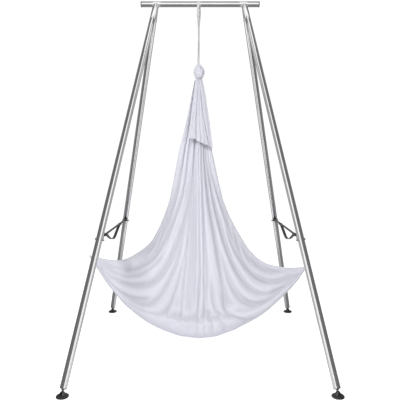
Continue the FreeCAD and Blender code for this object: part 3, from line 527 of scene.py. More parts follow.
def make_knot():
    rng = np.random.default_rng(21)
    prof = np.array([(2.258, 0.0325), (2.270, 0.0290), (2.281, 0.0300), (2.297, 0.0380), (2.318, 0.0458), (2.340, 0.0492),
                     (2.360, 0.0482), (2.378, 0.0425), (2.392, 0.0350), (2.402, 0.0270), (2.409, 0.0200),
                     (2.4115, 0.0150), (2.408, 0.0125), (2.398, 0.0118)])
    d = np.r_[0, np.cumsum(np.linalg.norm(np.diff(prof, axis=0), axis=1))]
    s = np.linspace(0, d[-1], 84)
    z = np.interp(s, d, prof[:, 0])
    r = np.interp(s, d, prof[:, 1])
    for _ in range(6):
        z[1:-1] = 0.25 * z[:-2] + 0.5 * z[1:-1] + 0.25 * z[2:]
        r[1:-1] = 0.25 * r[:-2] + 0.5 * r[1:-1] + 0.25 * r[2:]
    seg = 168
    phi = np.linspace(0, 2 * math.pi, seg, endpoint=False)
    Z, PH = np.meshgrid(z, phi, indexing="ij")
    R = np.repeat(r[:, None], seg, 1)
    T = np.repeat(np.linspace(0, 1, len(z))[:, None], seg, 1)
    # gathers run from the mouth over the top and die out at the widest place
    width = rng.uniform(0.6, 1.5, 19)
    edges = np.r_[0, np.cumsum(width)] / width.sum() * 2 * math.pi
    ang = (PH + 0.35 * np.sin(6 * T) + 0.10 * np.sin(2 * PH + 9 * T)) % (2 * math.pi)
    i = np.clip(np.searchsorted(edges, ang, side="right") - 1, 0, 18)
    loc = (ang - edges[i]) / (edges[i + 1] - edges[i])
    valley = np.exp(-((loc - 0.5) / 0.20) ** 2)
    top = np.clip((T - 0.40) / 0.35, 0, 1) * np.clip((1.0 - T) / 0.06, 0, 1)
    low = np.clip((0.34 - T) / 0.22, 0, 1)
    deep = rng.uniform(0.5, 1.0, 19)[i]
    R = R * (1 - (0.20 * top + 0.20 * low) * valley * deep)
    # two wraps of the cloth lie round the bulb, one over the other
    for height, tilt, turn, wide, raise_ in ((2.323, 0.016, 0.6, 0.017, 0.0035), (2.352, 0.020, 2.6, 0.015, 0.0028),
                                             (2.293, 0.008, 4.4, 0.011, 0.0030)):
        off = (Z - (height + tilt * np.sin(PH - turn))) / wide
        R = R + raise_ * (1 / (1 + np.exp(-9 * (off + 1))) - 1 / (1 + np.exp(-9 * (off - 1)))) - raise_ * 0.6
    fine = sum(a * np.sin(k * PH + m * T * 12 + c) for a, k, m, c in
               ((0.0010, 5, 1.3, 0.3), (0.0008, 9, -0.8, 1.9), (0.0006, 17, 0.9, 4.0), (0.0005, 23, -1.2, 2.2)))
    R = R + fine * np.clip(T * 6, 0, 1) * np.clip((1 - T) * 8, 0, 1)
    sy = 0.93 + 0.0 * T
    lean = 0.003 * np.sin(math.pi * T)
    X = HX + lean + R * np.cos(PH)
    Y = R * sy * np.sin(PH)
    verts = np.stack([X, Y, Z], -1).reshape(-1, 3)
    ob = mesh_object("knot_gathers", verts, grid_faces(len(z), seg, close_cols=True))
    recalc(ob)
    set_material(ob, MAT["fabric_plain"])
    return ob


knot = make_knot()
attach(knot, "hammock")
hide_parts("hammock_knot")

# ------------------------------------------------------------------ loose ends of the fabric

TAIL_ROWS = np.array([(2271.5, -26, 30, 40), (2200, -36, 50, 52), (2100, -48, 66, 62), (2000, -61, 80, 71),
                      (1900, -72, 95, 80), (1830, -79, 110, 86), (1776, -84, 122, 92)], float) / 1000


def make_tail(name, front, flip, seed):
    rng = np.random.default_rng(seed)
    rows, cols = 110, 150
    t = np.linspace(0, 1, rows)
    k = np.linspace(0, 1, len(TAIL_ROWS))
    pick = np.interp(t, k, TAIL_ROWS[:, 0]), np.interp(t, k, TAIL_ROWS[:, 1]), np.interp(t, k, TAIL_ROWS[:, 2]), \
        np.interp(t, k, TAIL_ROWS[:, 3])
    z, x0, x1, y = [np.convolve(np.pad(q, 8, mode="reflect", reflect_type="odd"), np.ones(17) / 17, "valid") for q in pick]
    f = np.linspace(0, 1, cols)
    F, T = np.meshgrid(f, t)
    Z, X0, X1, Y = (np.repeat(q[:, None], cols, 1) for q in (z, x0, x1, y))
    # folded back and forth: long faces in front, short returns behind
    # each: place across at the neck and at the hem, half width, depth
    valleys = [(0.20, 0.10, 0.035, 0.5), (0.34, 0.30, 0.040, 1.0), (0.46, 0.50, 0.030, 0.7), (0.55, 0.845, 0.038, 1.25),
               (0.62, 0.66, 0.026, 0.6), (0.86, 0.945, 0.022, 0.5)]
    depth = np.zeros_like(F)
    slide = np.zeros_like(F)
    for neck, hem_at, wide, deep in valleys:
        place = neck + (hem_at - neck) * T + rng.uniform(-0.01, 0.01) + 0.012 * np.sin(4 * T + 7 * neck)
        grow = np.clip(0.25 + T * 1.0, 0, 1)
        q = (F - place) / wide
        depth += deep * np.exp(-np.abs(q) ** 1.7) * (0.004 + 0.012 * grow)
        slide += deep * 0.5 * wide * np.tanh(q * 1.3) * np.exp(-0.12 * q * q) * -0.9 * grow
    swell = 0.004 * np.sin(math.pi * 3.3 * F + 0.6) * (0.3 + 0.7 * T)
    Fx = np.clip(F + slide, -0.02, 1.02)
    X = X0 + Fx * (X1 - X0)
    Yd = Y + 0.002 - depth + swell - 0.014 * np.abs(2 * F - 1) ** 2
    step = 0.5 + 0.5 * np.tanh((F - 0.33) / 0.03) + 0.5 + 0.5 * np.tanh((F - 0.60) / 0.05) + 0.6 * (0.5 + 0.5 * np.tanh((F - 0.86) / 0.03))
    hem = (0.050 * F + 0.013 * step) * soft((T - 0.62) / 0.38) + 0.002 * np.sin(14 * F + 0.6) * np.clip((T - 0.9) / 0.1, 0, 1)
    Z = Z - hem
    verts = np.stack([HX + flip * X, front * Yd, Z], -1).reshape(-1, 3)
    uv = np.stack([F * 0.36, T * 0.55], -1).reshape(-1, 2)
    ob = mesh_object(name, verts, grid_faces(rows, cols), uvs=uv)
    set_material(ob, MAT["fabric_plain"])
    flat = sum(p.area for p in ob.data.polygons)
    sol = ob.modifiers.new("thick", "SOLIDIFY")
    sol.thickness = 0.0012
    sol.offset = 0
    apply_modifiers(ob)
    return ob, flat


for name, node, front, flip, seed in (("loose_end_front", "hammock_tail_front", -1, 1, 4),
                                      ("loose_end_rear", "hammock_tail_rear", 1, -1, 8)):
    ob, flat = make_tail(name, front, flip, seed)
    print(name, "area", round(flat, 4))
    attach(ob, "hammock")
    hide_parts(node)

# ------------------------------------------------------------------ hammock fabric

LEFT_EDGE = [(-33, 2271.5), (-62, 2130), (-95, 1960), (-128, 1820), (-166, 1674), (-214, 1416), (-250, 1244),
             (-296, 1113), (-337, 1021), (-407, 896), (-460, 843), (-520, 798), (-598, 752), (-655, 730),
             (-756, 732), (-860, 752), (-940, 772)]
RIGHT_EDGE = [(33, 2271.5), (57, 2130), (80, 1960), (97, 1820), (112, 1674), (166, 1416), (209, 1244), (260, 1120),
              (322, 1000), (380, 903), (419, 837), (498, 752), (590, 697), (668, 679), (767, 664), (870, 668),
              (925, 674)]
SEAT_LEFT = [(0, 66), (150, 80), (300, 128), (420, 180), (506, 230), (620, 312), (700, 392), (790, 490),
             (860, 585), (940, 705)]
SEAT_RIGHT = [(0, 66), (150, 80), (300, 128), (420, 178), (510, 222), (620, 300), (700, 362), (790, 445),
              (870, 528), (925, 610)]


def smooth_curve(points, samples=400, passes=40):
    p = np.array(points, float) / 1000.0
    d = np.r_[0, np.cumsum(np.linalg.norm(np.diff(p, axis=0), axis=1))]
    s = np.linspace(0, d[-1], samples)
    c = np.stack([np.interp(s, d, p[:, k]) for k in range(2)], 1)
    for _ in range(passes):
        c[1:-1] = 0.25 * c[:-2] + 0.5 * c[1:-1] + 0.25 * c[2:]
    d = np.r_[0, np.cumsum(np.linalg.norm(np.diff(c, axis=0), axis=1))]
    s = np.linspace(0, d[-1], samples)
    return np.stack([np.interp(s, d, c[:, k]) for k in range(2)], 1)


EDGE = {-1: smooth_curve(LEFT_EDGE), 1: smooth_curve(RIGHT_EDGE)}
SEAT = {-1: smooth_curve(SEAT_LEFT), 1: smooth_curve(SEAT_RIGHT)}


def base_surface(W, V):
    """The smooth form of the sheet. W runs from -1 (front of the knot) by 0 (seat) to 1 (behind), V from left to right."""
    A = np.abs(V)
    aw = np.abs(W)
    share = 0.115
    belly = 0.152 * (1 - 0.93 * A ** 2.2)
    lift = belly / 2.2
    turn = np.clip(aw / share, 0, 1) * math.pi / 2
    up = np.clip((aw - share) / (1 - share), 0, 1)
    low = aw < share
    down = np.where(low, 1 - lift * (1 - np.cos(turn)), (1 - lift) * (1 - up))
    mouth = 1 + 0.9 * A ** 3 * np.sin(math.pi * np.clip(up * 1.6, 0, 1))
    depth = np.where(low, belly * np.sin(turn), 0.024 + (belly * mouth - 0.024) * (1 - up) ** 1.15)
    X = np.zeros_like(W)
    Z = np.zeros_like(W)
    for side in (-1, 1):
        pick = (V < 0) if side < 0 else (V >= 0)
        edge, seat = EDGE[side], SEAT[side]
        s = np.linspace(0, 1, len(edge))
        ex = np.interp(down, s, edge[:, 0])
        ez = np.interp(down, s, edge[:, 1])
        tip = abs(edge[-1, 0])
        rise = (np.interp(A * tip, seat[:, 0], seat[:, 1]) - seat[0, 1]) / (seat[-1, 1] - seat[0, 1])
        mid = 2.2715 + (seat[0, 1] - 2.2715) * down
        x = A * ex
        z = mid + (ez - mid) * (rise * down + A ** 2 * (1 - down))
        X = np.where(pick, x, X)
        Z = np.where(pick, z, Z)
    Y = np.sign(W) * depth
    return np.stack([HX + X, Y, Z], -1)


def normals_of(P):
    du = np.gradient(P, axis=0)
    dv = np.gradient(P, axis=1)
    n = np.cross(dv, du)
    ln = np.linalg.norm(n, axis=-1, keepdims=True)
    return n / np.maximum(ln, 1e-9)


# furrows of the front: where each starts across the gathered neck, how deep, where it has died out on its way down
FRONT = [(-0.955, 0.50, 0.00, 0.020), (-0.86, 0.55, 0.02, 0.024), (-0.76, 1.00, 0.00, 0.034), (-0.665, 0.45, 0.10, 0.022),
         (-0.575, 0.90, 0.02, 0.030), (-0.46, 1.00, 0.00, 0.038), (-0.365, 0.40, 0.16, 0.020), (-0.26, 1.00, 0.03, 0.036),
         (-0.145, 0.60, 0.10, 0.026), (-0.018, 1.00, -0.12, 0.030), (0.055, 0.40, 0.20, 0.020), (0.125, 0.95, 0.05, 0.032),
         (0.215, 0.45, 0.14, 0.022), (0.305, 1.00, 0.00, 0.036), (0.40, 0.45, 0.12, 0.022), (0.475, 0.95, 0.00, 0.036),
         (0.575, 0.60, 0.06, 0.024), (0.67, 1.00, 0.00, 0.034), (0.77, 0.60, 0.06, 0.024), (0.86, 0.90, 0.00, 0.028),
         (0.955, 0.45, 0.00, 0.018)]


# the larger folds of the front as they lie in the hanging cloth: half width, depth as a share of it, and the line (X, Z)
FOLDS = [
    (0.0160, 0.85, [(-0.036, 2.249), (-0.067, 2.023), (-0.144, 1.595), (-0.179, 1.398), (-0.222, 1.226),
        (-0.277, 1.085), (-0.351, 0.956), (-0.443, 0.852), (-0.553, 0.778), (-0.67, 0.745), (-0.817, 0.757)]),
    (0.0147, 0.95, [(-0.029, 2.249), (-0.051, 2.023), (-0.105, 1.595), (-0.126, 1.398), (-0.166, 1.226),
        (-0.222, 1.085), (-0.283, 0.944), (-0.363, 0.815), (-0.461, 0.725), (-0.584, 0.683), (-0.707, 0.688),
        (-0.836, 0.729)]),
    (0.0111, 0.55, [(-0.024, 2.249), (-0.04, 2.023), (-0.078, 1.595), (-0.09, 1.411), (-0.117, 1.263),
        (-0.166, 1.103), (-0.213, 0.968), (-0.277, 0.845), (-0.351, 0.747), (-0.437, 0.673), (-0.547, 0.643),
        (-0.682, 0.649), (-0.817, 0.704)]),
    (0.0172, 1.00, [(-0.021, 2.249), (-0.032, 2.023), (-0.058, 1.595), (-0.07, 1.386), (-0.099, 1.202),
        (-0.144, 1.03), (-0.197, 0.87), (-0.258, 0.735), (-0.326, 0.624), (-0.412, 0.544), (-0.535, 0.526),
        (-0.67, 0.575), (-0.805, 0.673)]),
    (0.0135, 0.70, [(-0.099, 1.116), (-0.134, 0.956), (-0.179, 0.796), (-0.225, 0.673), (-0.277, 0.557),
        (-0.344, 0.44), (-0.437, 0.366), (-0.559, 0.378), (-0.682, 0.465)]),
    (0.0123, 0.55, [(-0.117, 0.895), (-0.144, 0.735), (-0.179, 0.6), (-0.215, 0.477), (-0.258, 0.366),
        (-0.314, 0.28), (-0.387, 0.219)]),
    (0.0233, 0.85, [(-0.018, 2.249), (-0.025, 2.023), (-0.041, 1.595), (-0.05, 1.386), (-0.061, 1.165),
        (-0.064, 0.956), (-0.066, 0.747), (-0.078, 0.551), (-0.088, 0.378), (-0.097, 0.219), (-0.102, 0.084)]),
    (0.0086, 1.15, [(-0.013, 2.249), (-0.013, 2.023), (-0.014, 1.619), (-0.009, 1.386), (-0.009, 1.165),
        (-0.007, 0.956), (0.001, 0.772), (-0.004, 0.575), (-0.019, 0.378), (-0.029, 0.219), (-0.034, 0.071)]),
    (0.0098, 0.90, [(-0.007, 2.249), (0.002, 2.023), (0.011, 1.619), (0.018, 1.386), (0.025, 1.165), (0.04, 0.968),
        (0.055, 0.772), (0.06, 0.587), (0.055, 0.428), (0.067, 0.305), (0.102, 0.182), (0.129, 0.096)]),
    (0.0135, 1.00, [(-0, 2.249), (0.018, 2.023), (0.035, 1.619), (0.057, 1.411), (0.079, 1.226), (0.106, 1.067),
        (0.138, 0.919), (0.165, 0.772), (0.188, 0.624), (0.21, 0.489), (0.247, 0.366), (0.301, 0.256),
        (0.374, 0.188)]),
    (0.0147, 1.00, [(0.005, 2.249), (0.029, 2.023), (0.052, 1.619), (0.087, 1.435), (0.121, 1.263), (0.163, 1.091),
        (0.205, 0.944), (0.251, 0.809), (0.313, 0.673), (0.387, 0.563), (0.473, 0.483), (0.571, 0.462),
        (0.694, 0.514), (0.817, 0.606)]),
    (0.0111, 0.70, [(0.147, 1.226), (0.19, 1.091), (0.239, 0.968), (0.301, 0.839), (0.374, 0.723), (0.46, 0.637),
        (0.559, 0.594), (0.657, 0.587), (0.755, 0.618), (0.854, 0.657)]),
    (0.0135, 0.90, [(0.009, 2.249), (0.039, 2.023), (0.07, 1.619), (0.116, 1.423), (0.172, 1.251), (0.224, 1.116),
        (0.282, 0.987), (0.344, 0.876), (0.417, 0.784), (0.503, 0.71), (0.608, 0.664), (0.731, 0.646),
        (0.854, 0.673)]),
    (0.0098, 0.50, [(0.215, 1.214), (0.27, 1.085), (0.337, 0.968), (0.411, 0.864), (0.497, 0.778), (0.596, 0.723),
        (0.694, 0.695), (0.792, 0.688)]),
    (0.0172, 0.90, [(0.147, 0.968), (0.184, 0.821), (0.221, 0.673), (0.276, 0.538), (0.35, 0.434), (0.436, 0.385),
        (0.534, 0.388), (0.645, 0.452), (0.755, 0.544)]),
    (0.0197, 0.75, [(0.178, 0.551), (0.215, 0.415), (0.264, 0.311), (0.337, 0.237), (0.436, 0.225), (0.534, 0.286)]),
    (0.0123, 0.60, [(0.086, 0.649), (0.102, 0.501), (0.129, 0.366), (0.172, 0.243), (0.221, 0.133)]),
    (0.0110, 0.80, [(-0.88, 0.768), (-0.827, 0.752), (-0.744, 0.692), (-0.633, 0.675), (-0.546, 0.682), (-0.445, 0.75)]),
    (0.0100, 0.75, [(-0.89, 0.752), (-0.812, 0.712), (-0.735, 0.652), (-0.633, 0.622), (-0.523, 0.63), (-0.424, 0.667)]),
    (0.0115, 0.80, [(-0.89, 0.738), (-0.811, 0.668), (-0.731, 0.594), (-0.621, 0.557), (-0.51, 0.557), (-0.412, 0.587)]),
    (0.0130, 0.80, [(-0.88, 0.712), (-0.80, 0.606), (-0.712, 0.505), (-0.61, 0.446), (-0.50, 0.428), (-0.387, 0.45)]),
    (0.0111, 0.45, [(-0.645, 0.415), (-0.547, 0.342), (-0.449, 0.305), (-0.363, 0.305)]),
    (0.0111, 0.45, [(-0.179, 0.477), (-0.193, 0.366), (-0.218, 0.256), (-0.242, 0.157)]),
    (0.0111, 0.65, [(0.89, 0.662), (0.78, 0.577), (0.682, 0.510), (0.583, 0.477)]),
    (0.0095, 0.80, [(0.89, 0.670), (0.80, 0.655), (0.70, 0.648), (0.60, 0.662), (0.50, 0.712), (0.42, 0.79)]),
    (0.0110, 0.75, [(0.89, 0.664), (0.81, 0.618), (0.72, 0.576), (0.62, 0.560), (0.52, 0.580), (0.42, 0.655)]),
    (0.0080, 0.85, [(-0.03, 2.249), (-0.045, 1.8), (-0.07, 1.4), (-0.09, 1.1), (-0.11, 0.85), (-0.128, 0.657),
        (-0.15, 0.4), (-0.16, 0.2), (-0.165, 0.11)]),
    (0.0070, 1.00, [(-0.016, 2.249), (-0.02, 1.8), (-0.03, 1.4), (-0.036, 1.0), (-0.039, 0.657), (-0.05, 0.4),
        (-0.06, 0.2), (-0.065, 0.09)]),
    (0.0070, 0.90, [(0.004, 2.249), (0.006, 1.9), (0.02, 1.4), (0.033, 1.0), (0.036, 0.657), (0.035, 0.4), (0.04, 0.2),
        (0.05, 0.09)]),
]


def fold_depth(P, folds):
    """How deep each point of the cloth lies in the folds, by its place seen from the front."""
    k = (4.139 - 0.1) / (4.139 + P[..., 1])
    Q = np.stack([P[..., 0] * k, 1.551 + (P[..., 2] - 1.551) * k], -1).reshape(-1, 2)
    total = np.zeros(len(Q))
    for wide, deep, line in folds:
        c = np.array(line, float)
        for _ in range(3):
            c = np.concatenate([c[:1], np.stack([0.75 * c[:-1] + 0.25 * c[1:], 0.25 * c[:-1] + 0.75 * c[1:]], 1).reshape(-1, 2), c[-1:]])
        seg = np.diff(c, axis=0)
        ln = np.linalg.norm(seg, axis=1)
        at = np.r_[0, np.cumsum(ln)]
        best = np.full(len(Q), 9.0)
        where = np.zeros(len(Q))
        side = np.zeros(len(Q))
        lo, hi = c.min(0) - 4 * wide, c.max(0) + 4 * wide
        near = np.nonzero(np.all((Q > lo) & (Q < hi), axis=1))[0]
        q = Q[near]
        b, wv, sd = best[near], where[near], side[near]
        for i in range(len(seg)):
            if ln[i] < 1e-6:
                continue
            r = q - c[i]
            t = np.clip(r @ seg[i] / ln[i] ** 2, 0, 1)
            e = r - t[:, None] * seg[i]
            d = np.linalg.norm(e, axis=1)
            hit = d < b
            b = np.where(hit, d, b)
            wv = np.where(hit, at[i] + t * ln[i], wv)
            sd = np.where(hit, np.sign(seg[i][0] * r[:, 1] - seg[i][1] * r[:, 0]), sd)
        share = wv / at[-1]
        low = soft((1.90 - q[:, 1]) / 1.15)
        grow = (0.52 + 0.95 * low) * (1 - 0.45 * soft((np.abs(q[:, 0]) - 0.66) / 0.26))
        w = wide * grow * np.where(sd > 0, 0.80, 1.25)
        ends = soft(share / (0.12 if abs(c[0][0]) > 0.75 else 0.34) + (1.0 if c[0][1] > 2.2 else 0.0)) * soft((1 - share) / (0.05 if c[-1][1] < 0.14 else 0.22) + 0.06)
        calm = (1 - 0.68 * soft((-q[:, 0] - 0.38) / 0.2)) * (1 - 0.3 * soft((q[:, 0] - 0.55) / 0.2)) if c[0][1] > 2.2 else 1.0
        total[near] += deep * wide * grow * (2.1 - 0.2 * low) * calm * ends * np.exp(-np.abs(b / w) ** 1.6)
    total = 0.036 * np.tanh(total / 0.036)
    return total.reshape(P.shape[:-1])


def mark_valleys(ob, grid, size=0.008):
    """Notes for each point how far it lies below (1) or above (-1) the mean of the cloth round it; the fabric material
    paints shade into the folds from this note.
    """
    rows, cols = grid
    co = np.empty(rows * cols * 3)
    ob.data.vertices.foreach_get("co", co)
    P = co.reshape(rows, cols, 3)
    means = []
    S = P.copy()
    for n in range(170):
        T = np.pad(S, ((1, 1), (0, 0), (0, 0)), mode="reflect", reflect_type="odd")
        S = 0.25 * T[:-2] + 0.5 * T[1:-1] + 0.25 * T[2:]
        T = np.pad(S, ((0, 0), (1, 1), (0, 0)), mode="reflect", reflect_type="odd")
        S = 0.25 * T[:, :-2] + 0.5 * T[:, 1:-1] + 0.25 * T[:, 2:]
        if n in (25, 169):
            means.append(S)
    # the mean reaches over more columns where the cloth is drawn together
    across = np.linalg.norm(np.diff(means[0], axis=1), axis=2).mean(1)[:, None, None]
    more = soft((0.0062 - across) / 0.0040)
    S = (1 - more) * means[0] + more * means[1]
    N = normals_of(S)
    side = np.sign(S[..., 1])
    flip = np.where(np.abs(N[..., 1]) > 0.35, N[..., 1] * side < 0, N[..., 2] > 0)
    N = np.where(flip[..., None], -N, N)
    h = np.sum((P - S) * N, -1)
    layer = ob.data.attributes.new("valley", "FLOAT", "POINT")
    size = size * (1 - 0.45 * more[..., 0])
    layer.data.foreach_set("value", np.tanh(-h / size).ravel().astype(np.float32))


FABRIC_GRID = (191, 241)


def make_fabric():
    NW, NV = FABRIC_GRID[0] - 1, FABRIC_GRID[1] - 1
    w = np.linspace(-1, 1, NW + 1)
    w = np.sign(w) * (0.85 * np.abs(w) + 0.15 * np.abs(w) ** 2)
    v = np.linspace(-1, 1, NV + 1)
    W, V = np.meshgrid(w, v, indexing="ij")
    aw = np.abs(W)
    P = base_surface(W, V)
    N = normals_of(P)
    N = np.where((np.sign(W) * N[..., 1] < 0)[..., None] & (aw > 0.03)[..., None], -N, N)
    # near the seat the outward side is down
    N = np.where(((aw <= 0.03) & (N[..., 2] > 0))[..., None], -N, N)
    half = np.abs(P[..., 1])
    # furrows leave the neck side by side; lower down the outer ones sweep out towards the tips
    k = soft((0.66 - aw) / 0.60)
    A = np.abs(V)
    F = (1 - k) * V + k * (0.36 * V + 0.64 * V * A ** 4.2)
    span = np.where(V < 0, np.interp(1 - aw, np.linspace(0, 1, 400), np.abs(EDGE[-1][:, 0])),
                    np.interp(1 - aw, np.linspace(0, 1, 400), np.abs(EDGE[1][:, 0])))
    out = np.zeros_like(W)
    rng = np.random.default_rng(12)
    back = [(x + rng.uniform(-0.025, 0.025), rng.uniform(0.45, 1.0), rng.uniform(-0.05, 0.15), rng.uniform(0.022, 0.036))
            for x in np.linspace(-0.945, 0.945, 20)]
    wob = 0.012 * np.sin(9 * aw + 5 * V) * k
    dF = np.abs(np.gradient(F, axis=1) / np.gradient(V, axis=1))
    for side, furrows in ((-1, FRONT), (1, back)):
        here = (W < 0) if side < 0 else (W >= 0)
        sumd = np.zeros_like(W)
        for n, (place, deep, end, wide) in enumerate(furrows):
            drift = 0.010 * np.sin(5.0 * aw + 1.7 * n) * soft((aw - 0.2) / 0.3)
            q = (F + wob + drift - place) / wide
            life = soft((aw - end) / 0.20 + 0.22) * (0.82 + 0.18 * np.sin(6.0 * aw + 2.1 * n))
            sumd += deep * np.exp(-np.abs(q) ** 1.7) * life
        pitch = 0.10 * span / np.maximum(dF, 0.25)
        steep = 1.35 + 1.35 * soft((aw - 0.30) / 0.35) if side > 0 else 0.55 + 1.15 * soft((aw - 0.50) / 0.40)
        amp = np.minimum(steep * pitch, np.minimum(0.92 * half, 0.040 if side < 0 else 0.052))
        low_share = 0.0 if side < 0 else 1.0
        sumd = sumd * (soft((aw - 0.48) / 0.42) * (1 - low_share) + low_share)
        out = np.where(here, out - sumd * amp, out)
        # broad swells under the furrows
        out = np.where(here, out + 0.010 * np.sin(7.0 * F + 1.3 * side + 3 * aw) * np.clip(half / 0.08, 0, 1) * soft(aw / 0.2), out)
    out = np.where(W < 0, out - fold_depth(P, FOLDS) * np.clip(half / 0.03, 0, 1) * soft(aw / 0.045), out)
    # slack furrows that gather towards each tip, along the seat
    reach = soft((0.42 - aw) / 0.42)
    lines = np.sin(2 * math.pi * (aw * 13.0 + 0.35 * np.sin(3 * V + 1) + 0.10 * np.sin(13 * V + 2)))
    out = out + lines * reach * np.where(W < 0, 0.0030, 0.0065) * A ** 2.5 * soft(aw / 0.05)
    out = out * (1 - soft((A - 0.95) / 0.05) * soft((0.5 - aw) / 0.3))
    P = P + N * out[..., None]
    # the selvedges roll in a little
    roll = soft((A - 0.965) / 0.035) * 0.004 * soft((1 - aw) / 0.1) * soft(aw / 0.06)
    P[..., 1] -= np.sign(W) * roll
    # behind, the selvedges hang a little lower than in front
    P[..., 2] -= np.where(W > 0, 0.016, 0.0) * soft((A - 0.78) / 0.22) * soft((0.78 - aw) / 0.3) * soft(aw / 0.05)
    uv = np.stack([(V + 1) / 2 * 2.4, (W + 1) / 2 * 4.5], -1).reshape(-1, 2)
    ob = mesh_object("hammock_cloth", P.reshape(-1, 3), grid_faces(NW + 1, NV + 1), uvs=uv)
    set_material(ob, MAT["fabric"])
    return ob, aw.ravel(), A.ravel()


fabric, AW, AV = make_fabric()
print("fabric mesh area", round(sum(p.area for p in fabric.data.polygons), 3))


def hang(ob, frames=16):
    """Lets the cloth hang: the neck and the tips are held, the rest only guided, and the cloth is a little larger than its form, so it buckles as knitted cloth does."""
    start = np.empty(len(ob.data.vertices) * 3)
    ob.data.vertices.foreach_get("co", start)
    start = start.reshape(-1, 3).copy()
    hold = 0.16 + 0.30 * soft((AW - 0.35) / 0.4)
    hold = np.maximum(hold, soft((AW - 0.93) / 0.05))
    hold = np.maximum(hold, 0.75 * soft((AV - 0.93) / 0.07))
    hold = np.maximum(hold, 0.6 * soft((0.16 - AW) / 0.10))
    hold = np.maximum(hold, soft((AV - 0.985) / 0.015) * soft((0.10 - AW) / 0.04))
    group = ob.vertex_groups.new(name="held")
    for level in np.unique(np.round(hold, 2)):
        ids = np.nonzero(np.round(hold, 2) == level)[0]
        if level > 0:
            group.add([int(i) for i in ids], float(level), "REPLACE")
    mod = ob.modifiers.new("hang", "CLOTH")
    cs = mod.settings
    cs.quality = 5
    cs.mass = 0.12
    cs.air_damping = 2.0
    cs.tension_stiffness = 18
    cs.compression_stiffness = 12
    cs.shear_stiffness = 6
    cs.bending_stiffness = 1.2
    cs.tension_damping = 8
    cs.compression_damping = 8
    cs.shear_damping = 6
    cs.bending_damping = 0.6
    cs.vertex_group_mass = "held"
    cs.pin_stiffness = 0.9
    cs.shrink_min = -0.008
    mod.collision_settings.use_self_collision = False
    mod.collision_settings.use_collision = False
    mod.point_cache.frame_start = 1
    mod.point_cache.frame_end = frames
    for frame_no in range(1, frames + 1):
        scene.frame_set(frame_no)
    apply_modifiers(ob)
    scene.frame_set(1)
    end = np.empty(len(ob.data.vertices) * 3)
    ob.data.vertices.foreach_get("co", end)
    end = end.reshape(-1, 3)
    move = end - start
    far = np.linalg.norm(move, axis=1, keepdims=True)
    print("cloth moved", np.round(np.percentile(far, [50, 90, 99, 100]), 4))
    cap = 0.030
    move *= np.tanh(far / cap) * cap / np.maximum(far, 1e-9)
    ob.data.vertices.foreach_set("co", (start + move).ravel())
    ob.vertex_groups.clear()
    ob.data.update()


import time
t0 = time.time()
hang(fabric)
print("hang took", round(time.time() - t0, 1))
mark_valleys(fabric, FABRIC_GRID)
sheet_area = sum(p.area for p in fabric.data.polygons)
print("fabric area after", round(sheet_area, 3))
sol = fabric.modifiers.new("thick", "SOLIDIFY")
sol.thickness = 0.0012
sol.offset = 0
apply_modifiers(fabric)
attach(fabric, "hammock")
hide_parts("hammock_fabric")

# ------------------------------------------------------------------ light and floor

world = bpy.data.worlds.new("studio")
scene.world = world
world.use_nodes = True
wt = world.node_tree
wt.nodes.clear()
w_out = wt.nodes.new("ShaderNodeOutputWorld")
w_seen = wt.nodes.new("ShaderNodeBackground")
w_seen.inputs["Color"].default_value = (1, 1, 1, 1)
w_seen.inputs["Strength"].default_value = 1.05
w_lit = wt.nodes.new("ShaderNodeBackground")
w_lit.inputs["Color"].default_value = (0.98, 0.985, 1.0, 1)
w_lit.inputs["Strength"].default_value = 0.46
w_path = wt.nodes.new("ShaderNodeLightPath")
w_mix = wt.nodes.new("ShaderNodeMixShader")
wt.links.new(w_path.outputs["Is Camera Ray"], w_mix.inputs["Fac"])
wt.links.new(w_lit.outputs[0], w_mix.inputs[1])
wt.links.new(w_seen.outputs[0], w_mix.inputs[2])
wt.links.new(w_mix.outputs[0], w_out.inputs["Surface"])


def area(name, place, aim, size, power, colour=(1, 1, 1)):
    light = bpy.data.lights.new(name, "AREA")
    light.shape = "RECTANGLE"
    light.size, light.size_y = size
    light.energy = power
    light.color = colour
    ob = collection_link(bpy.data.objects.new(name, light))
    ob.location = place
    ob.rotation_euler = (Vector(aim) - Vector(place)).to_track_quat("-Z", "Y").to_euler()
    ob.visible_glossy = False
    return ob


area("key_softbox", (-1.7, -3.6, 4.2), (0, 0, 1.0), (1.2, 1.2), 110)
area("fill_softbox", (3.2, -3.0, 2.2), (0, 0, 1.2), (2.2, 2.6), 16)
area("rim_softbox", (0.4, 3.6, 4.4), (0, 0, 1.4), (3.0, 1.6), 36)
area("bounce", (0, -2.3, 0.06), (0, 0, 0.5), (2.6, 0.8), 15)


def card(name, corners, strength, forward=None):
    """A reflection card of the studio: seen only in polished surfaces. It may shine more strongly towards the back."""
    ob = mesh_object(name, corners, [(0, 1, 2, 3)], smooth=False)
    m = bpy.data.materials.new(name)
    m.use_nodes = True
    nt = m.node_tree
    nt.nodes.clear()
    o = nt.nodes.new("ShaderNodeOutputMaterial")
    e = nt.nodes.new("ShaderNodeEmission")
    e.inputs["Color"].default_value = (1, 1, 1, 1)
    e.inputs["Strength"].default_value = strength
    if forward is not None:
        geo = nt.nodes.new("ShaderNodeNewGeometry")
        sep = nt.nodes.new("ShaderNodeSeparateXYZ")
        mix = nt.nodes.new("ShaderNodeMapRange")
        nt.links.new(geo.outputs["Incoming"], sep.inputs[0])
        nt.links.new(sep.outputs["Y"], mix.inputs["Value"])
        mix.inputs["From Min"].default_value = -0.05
        mix.inputs["From Max"].default_value = 0.05
        mix.inputs["To Min"].default_value = strength
        mix.inputs["To Max"].default_value = forward
        nt.links.new(mix.outputs["Result"], e.inputs["Strength"])
    nt.links.new(e.outputs[0], o.inputs["Surface"])
    ob.data.materials.append(m)
    ob.visible_camera = False
    ob.visible_diffuse = False
    ob.visible_shadow = False
    ob.visible_transmission = False
    ob.visible_volume_scatter = False
    return ob


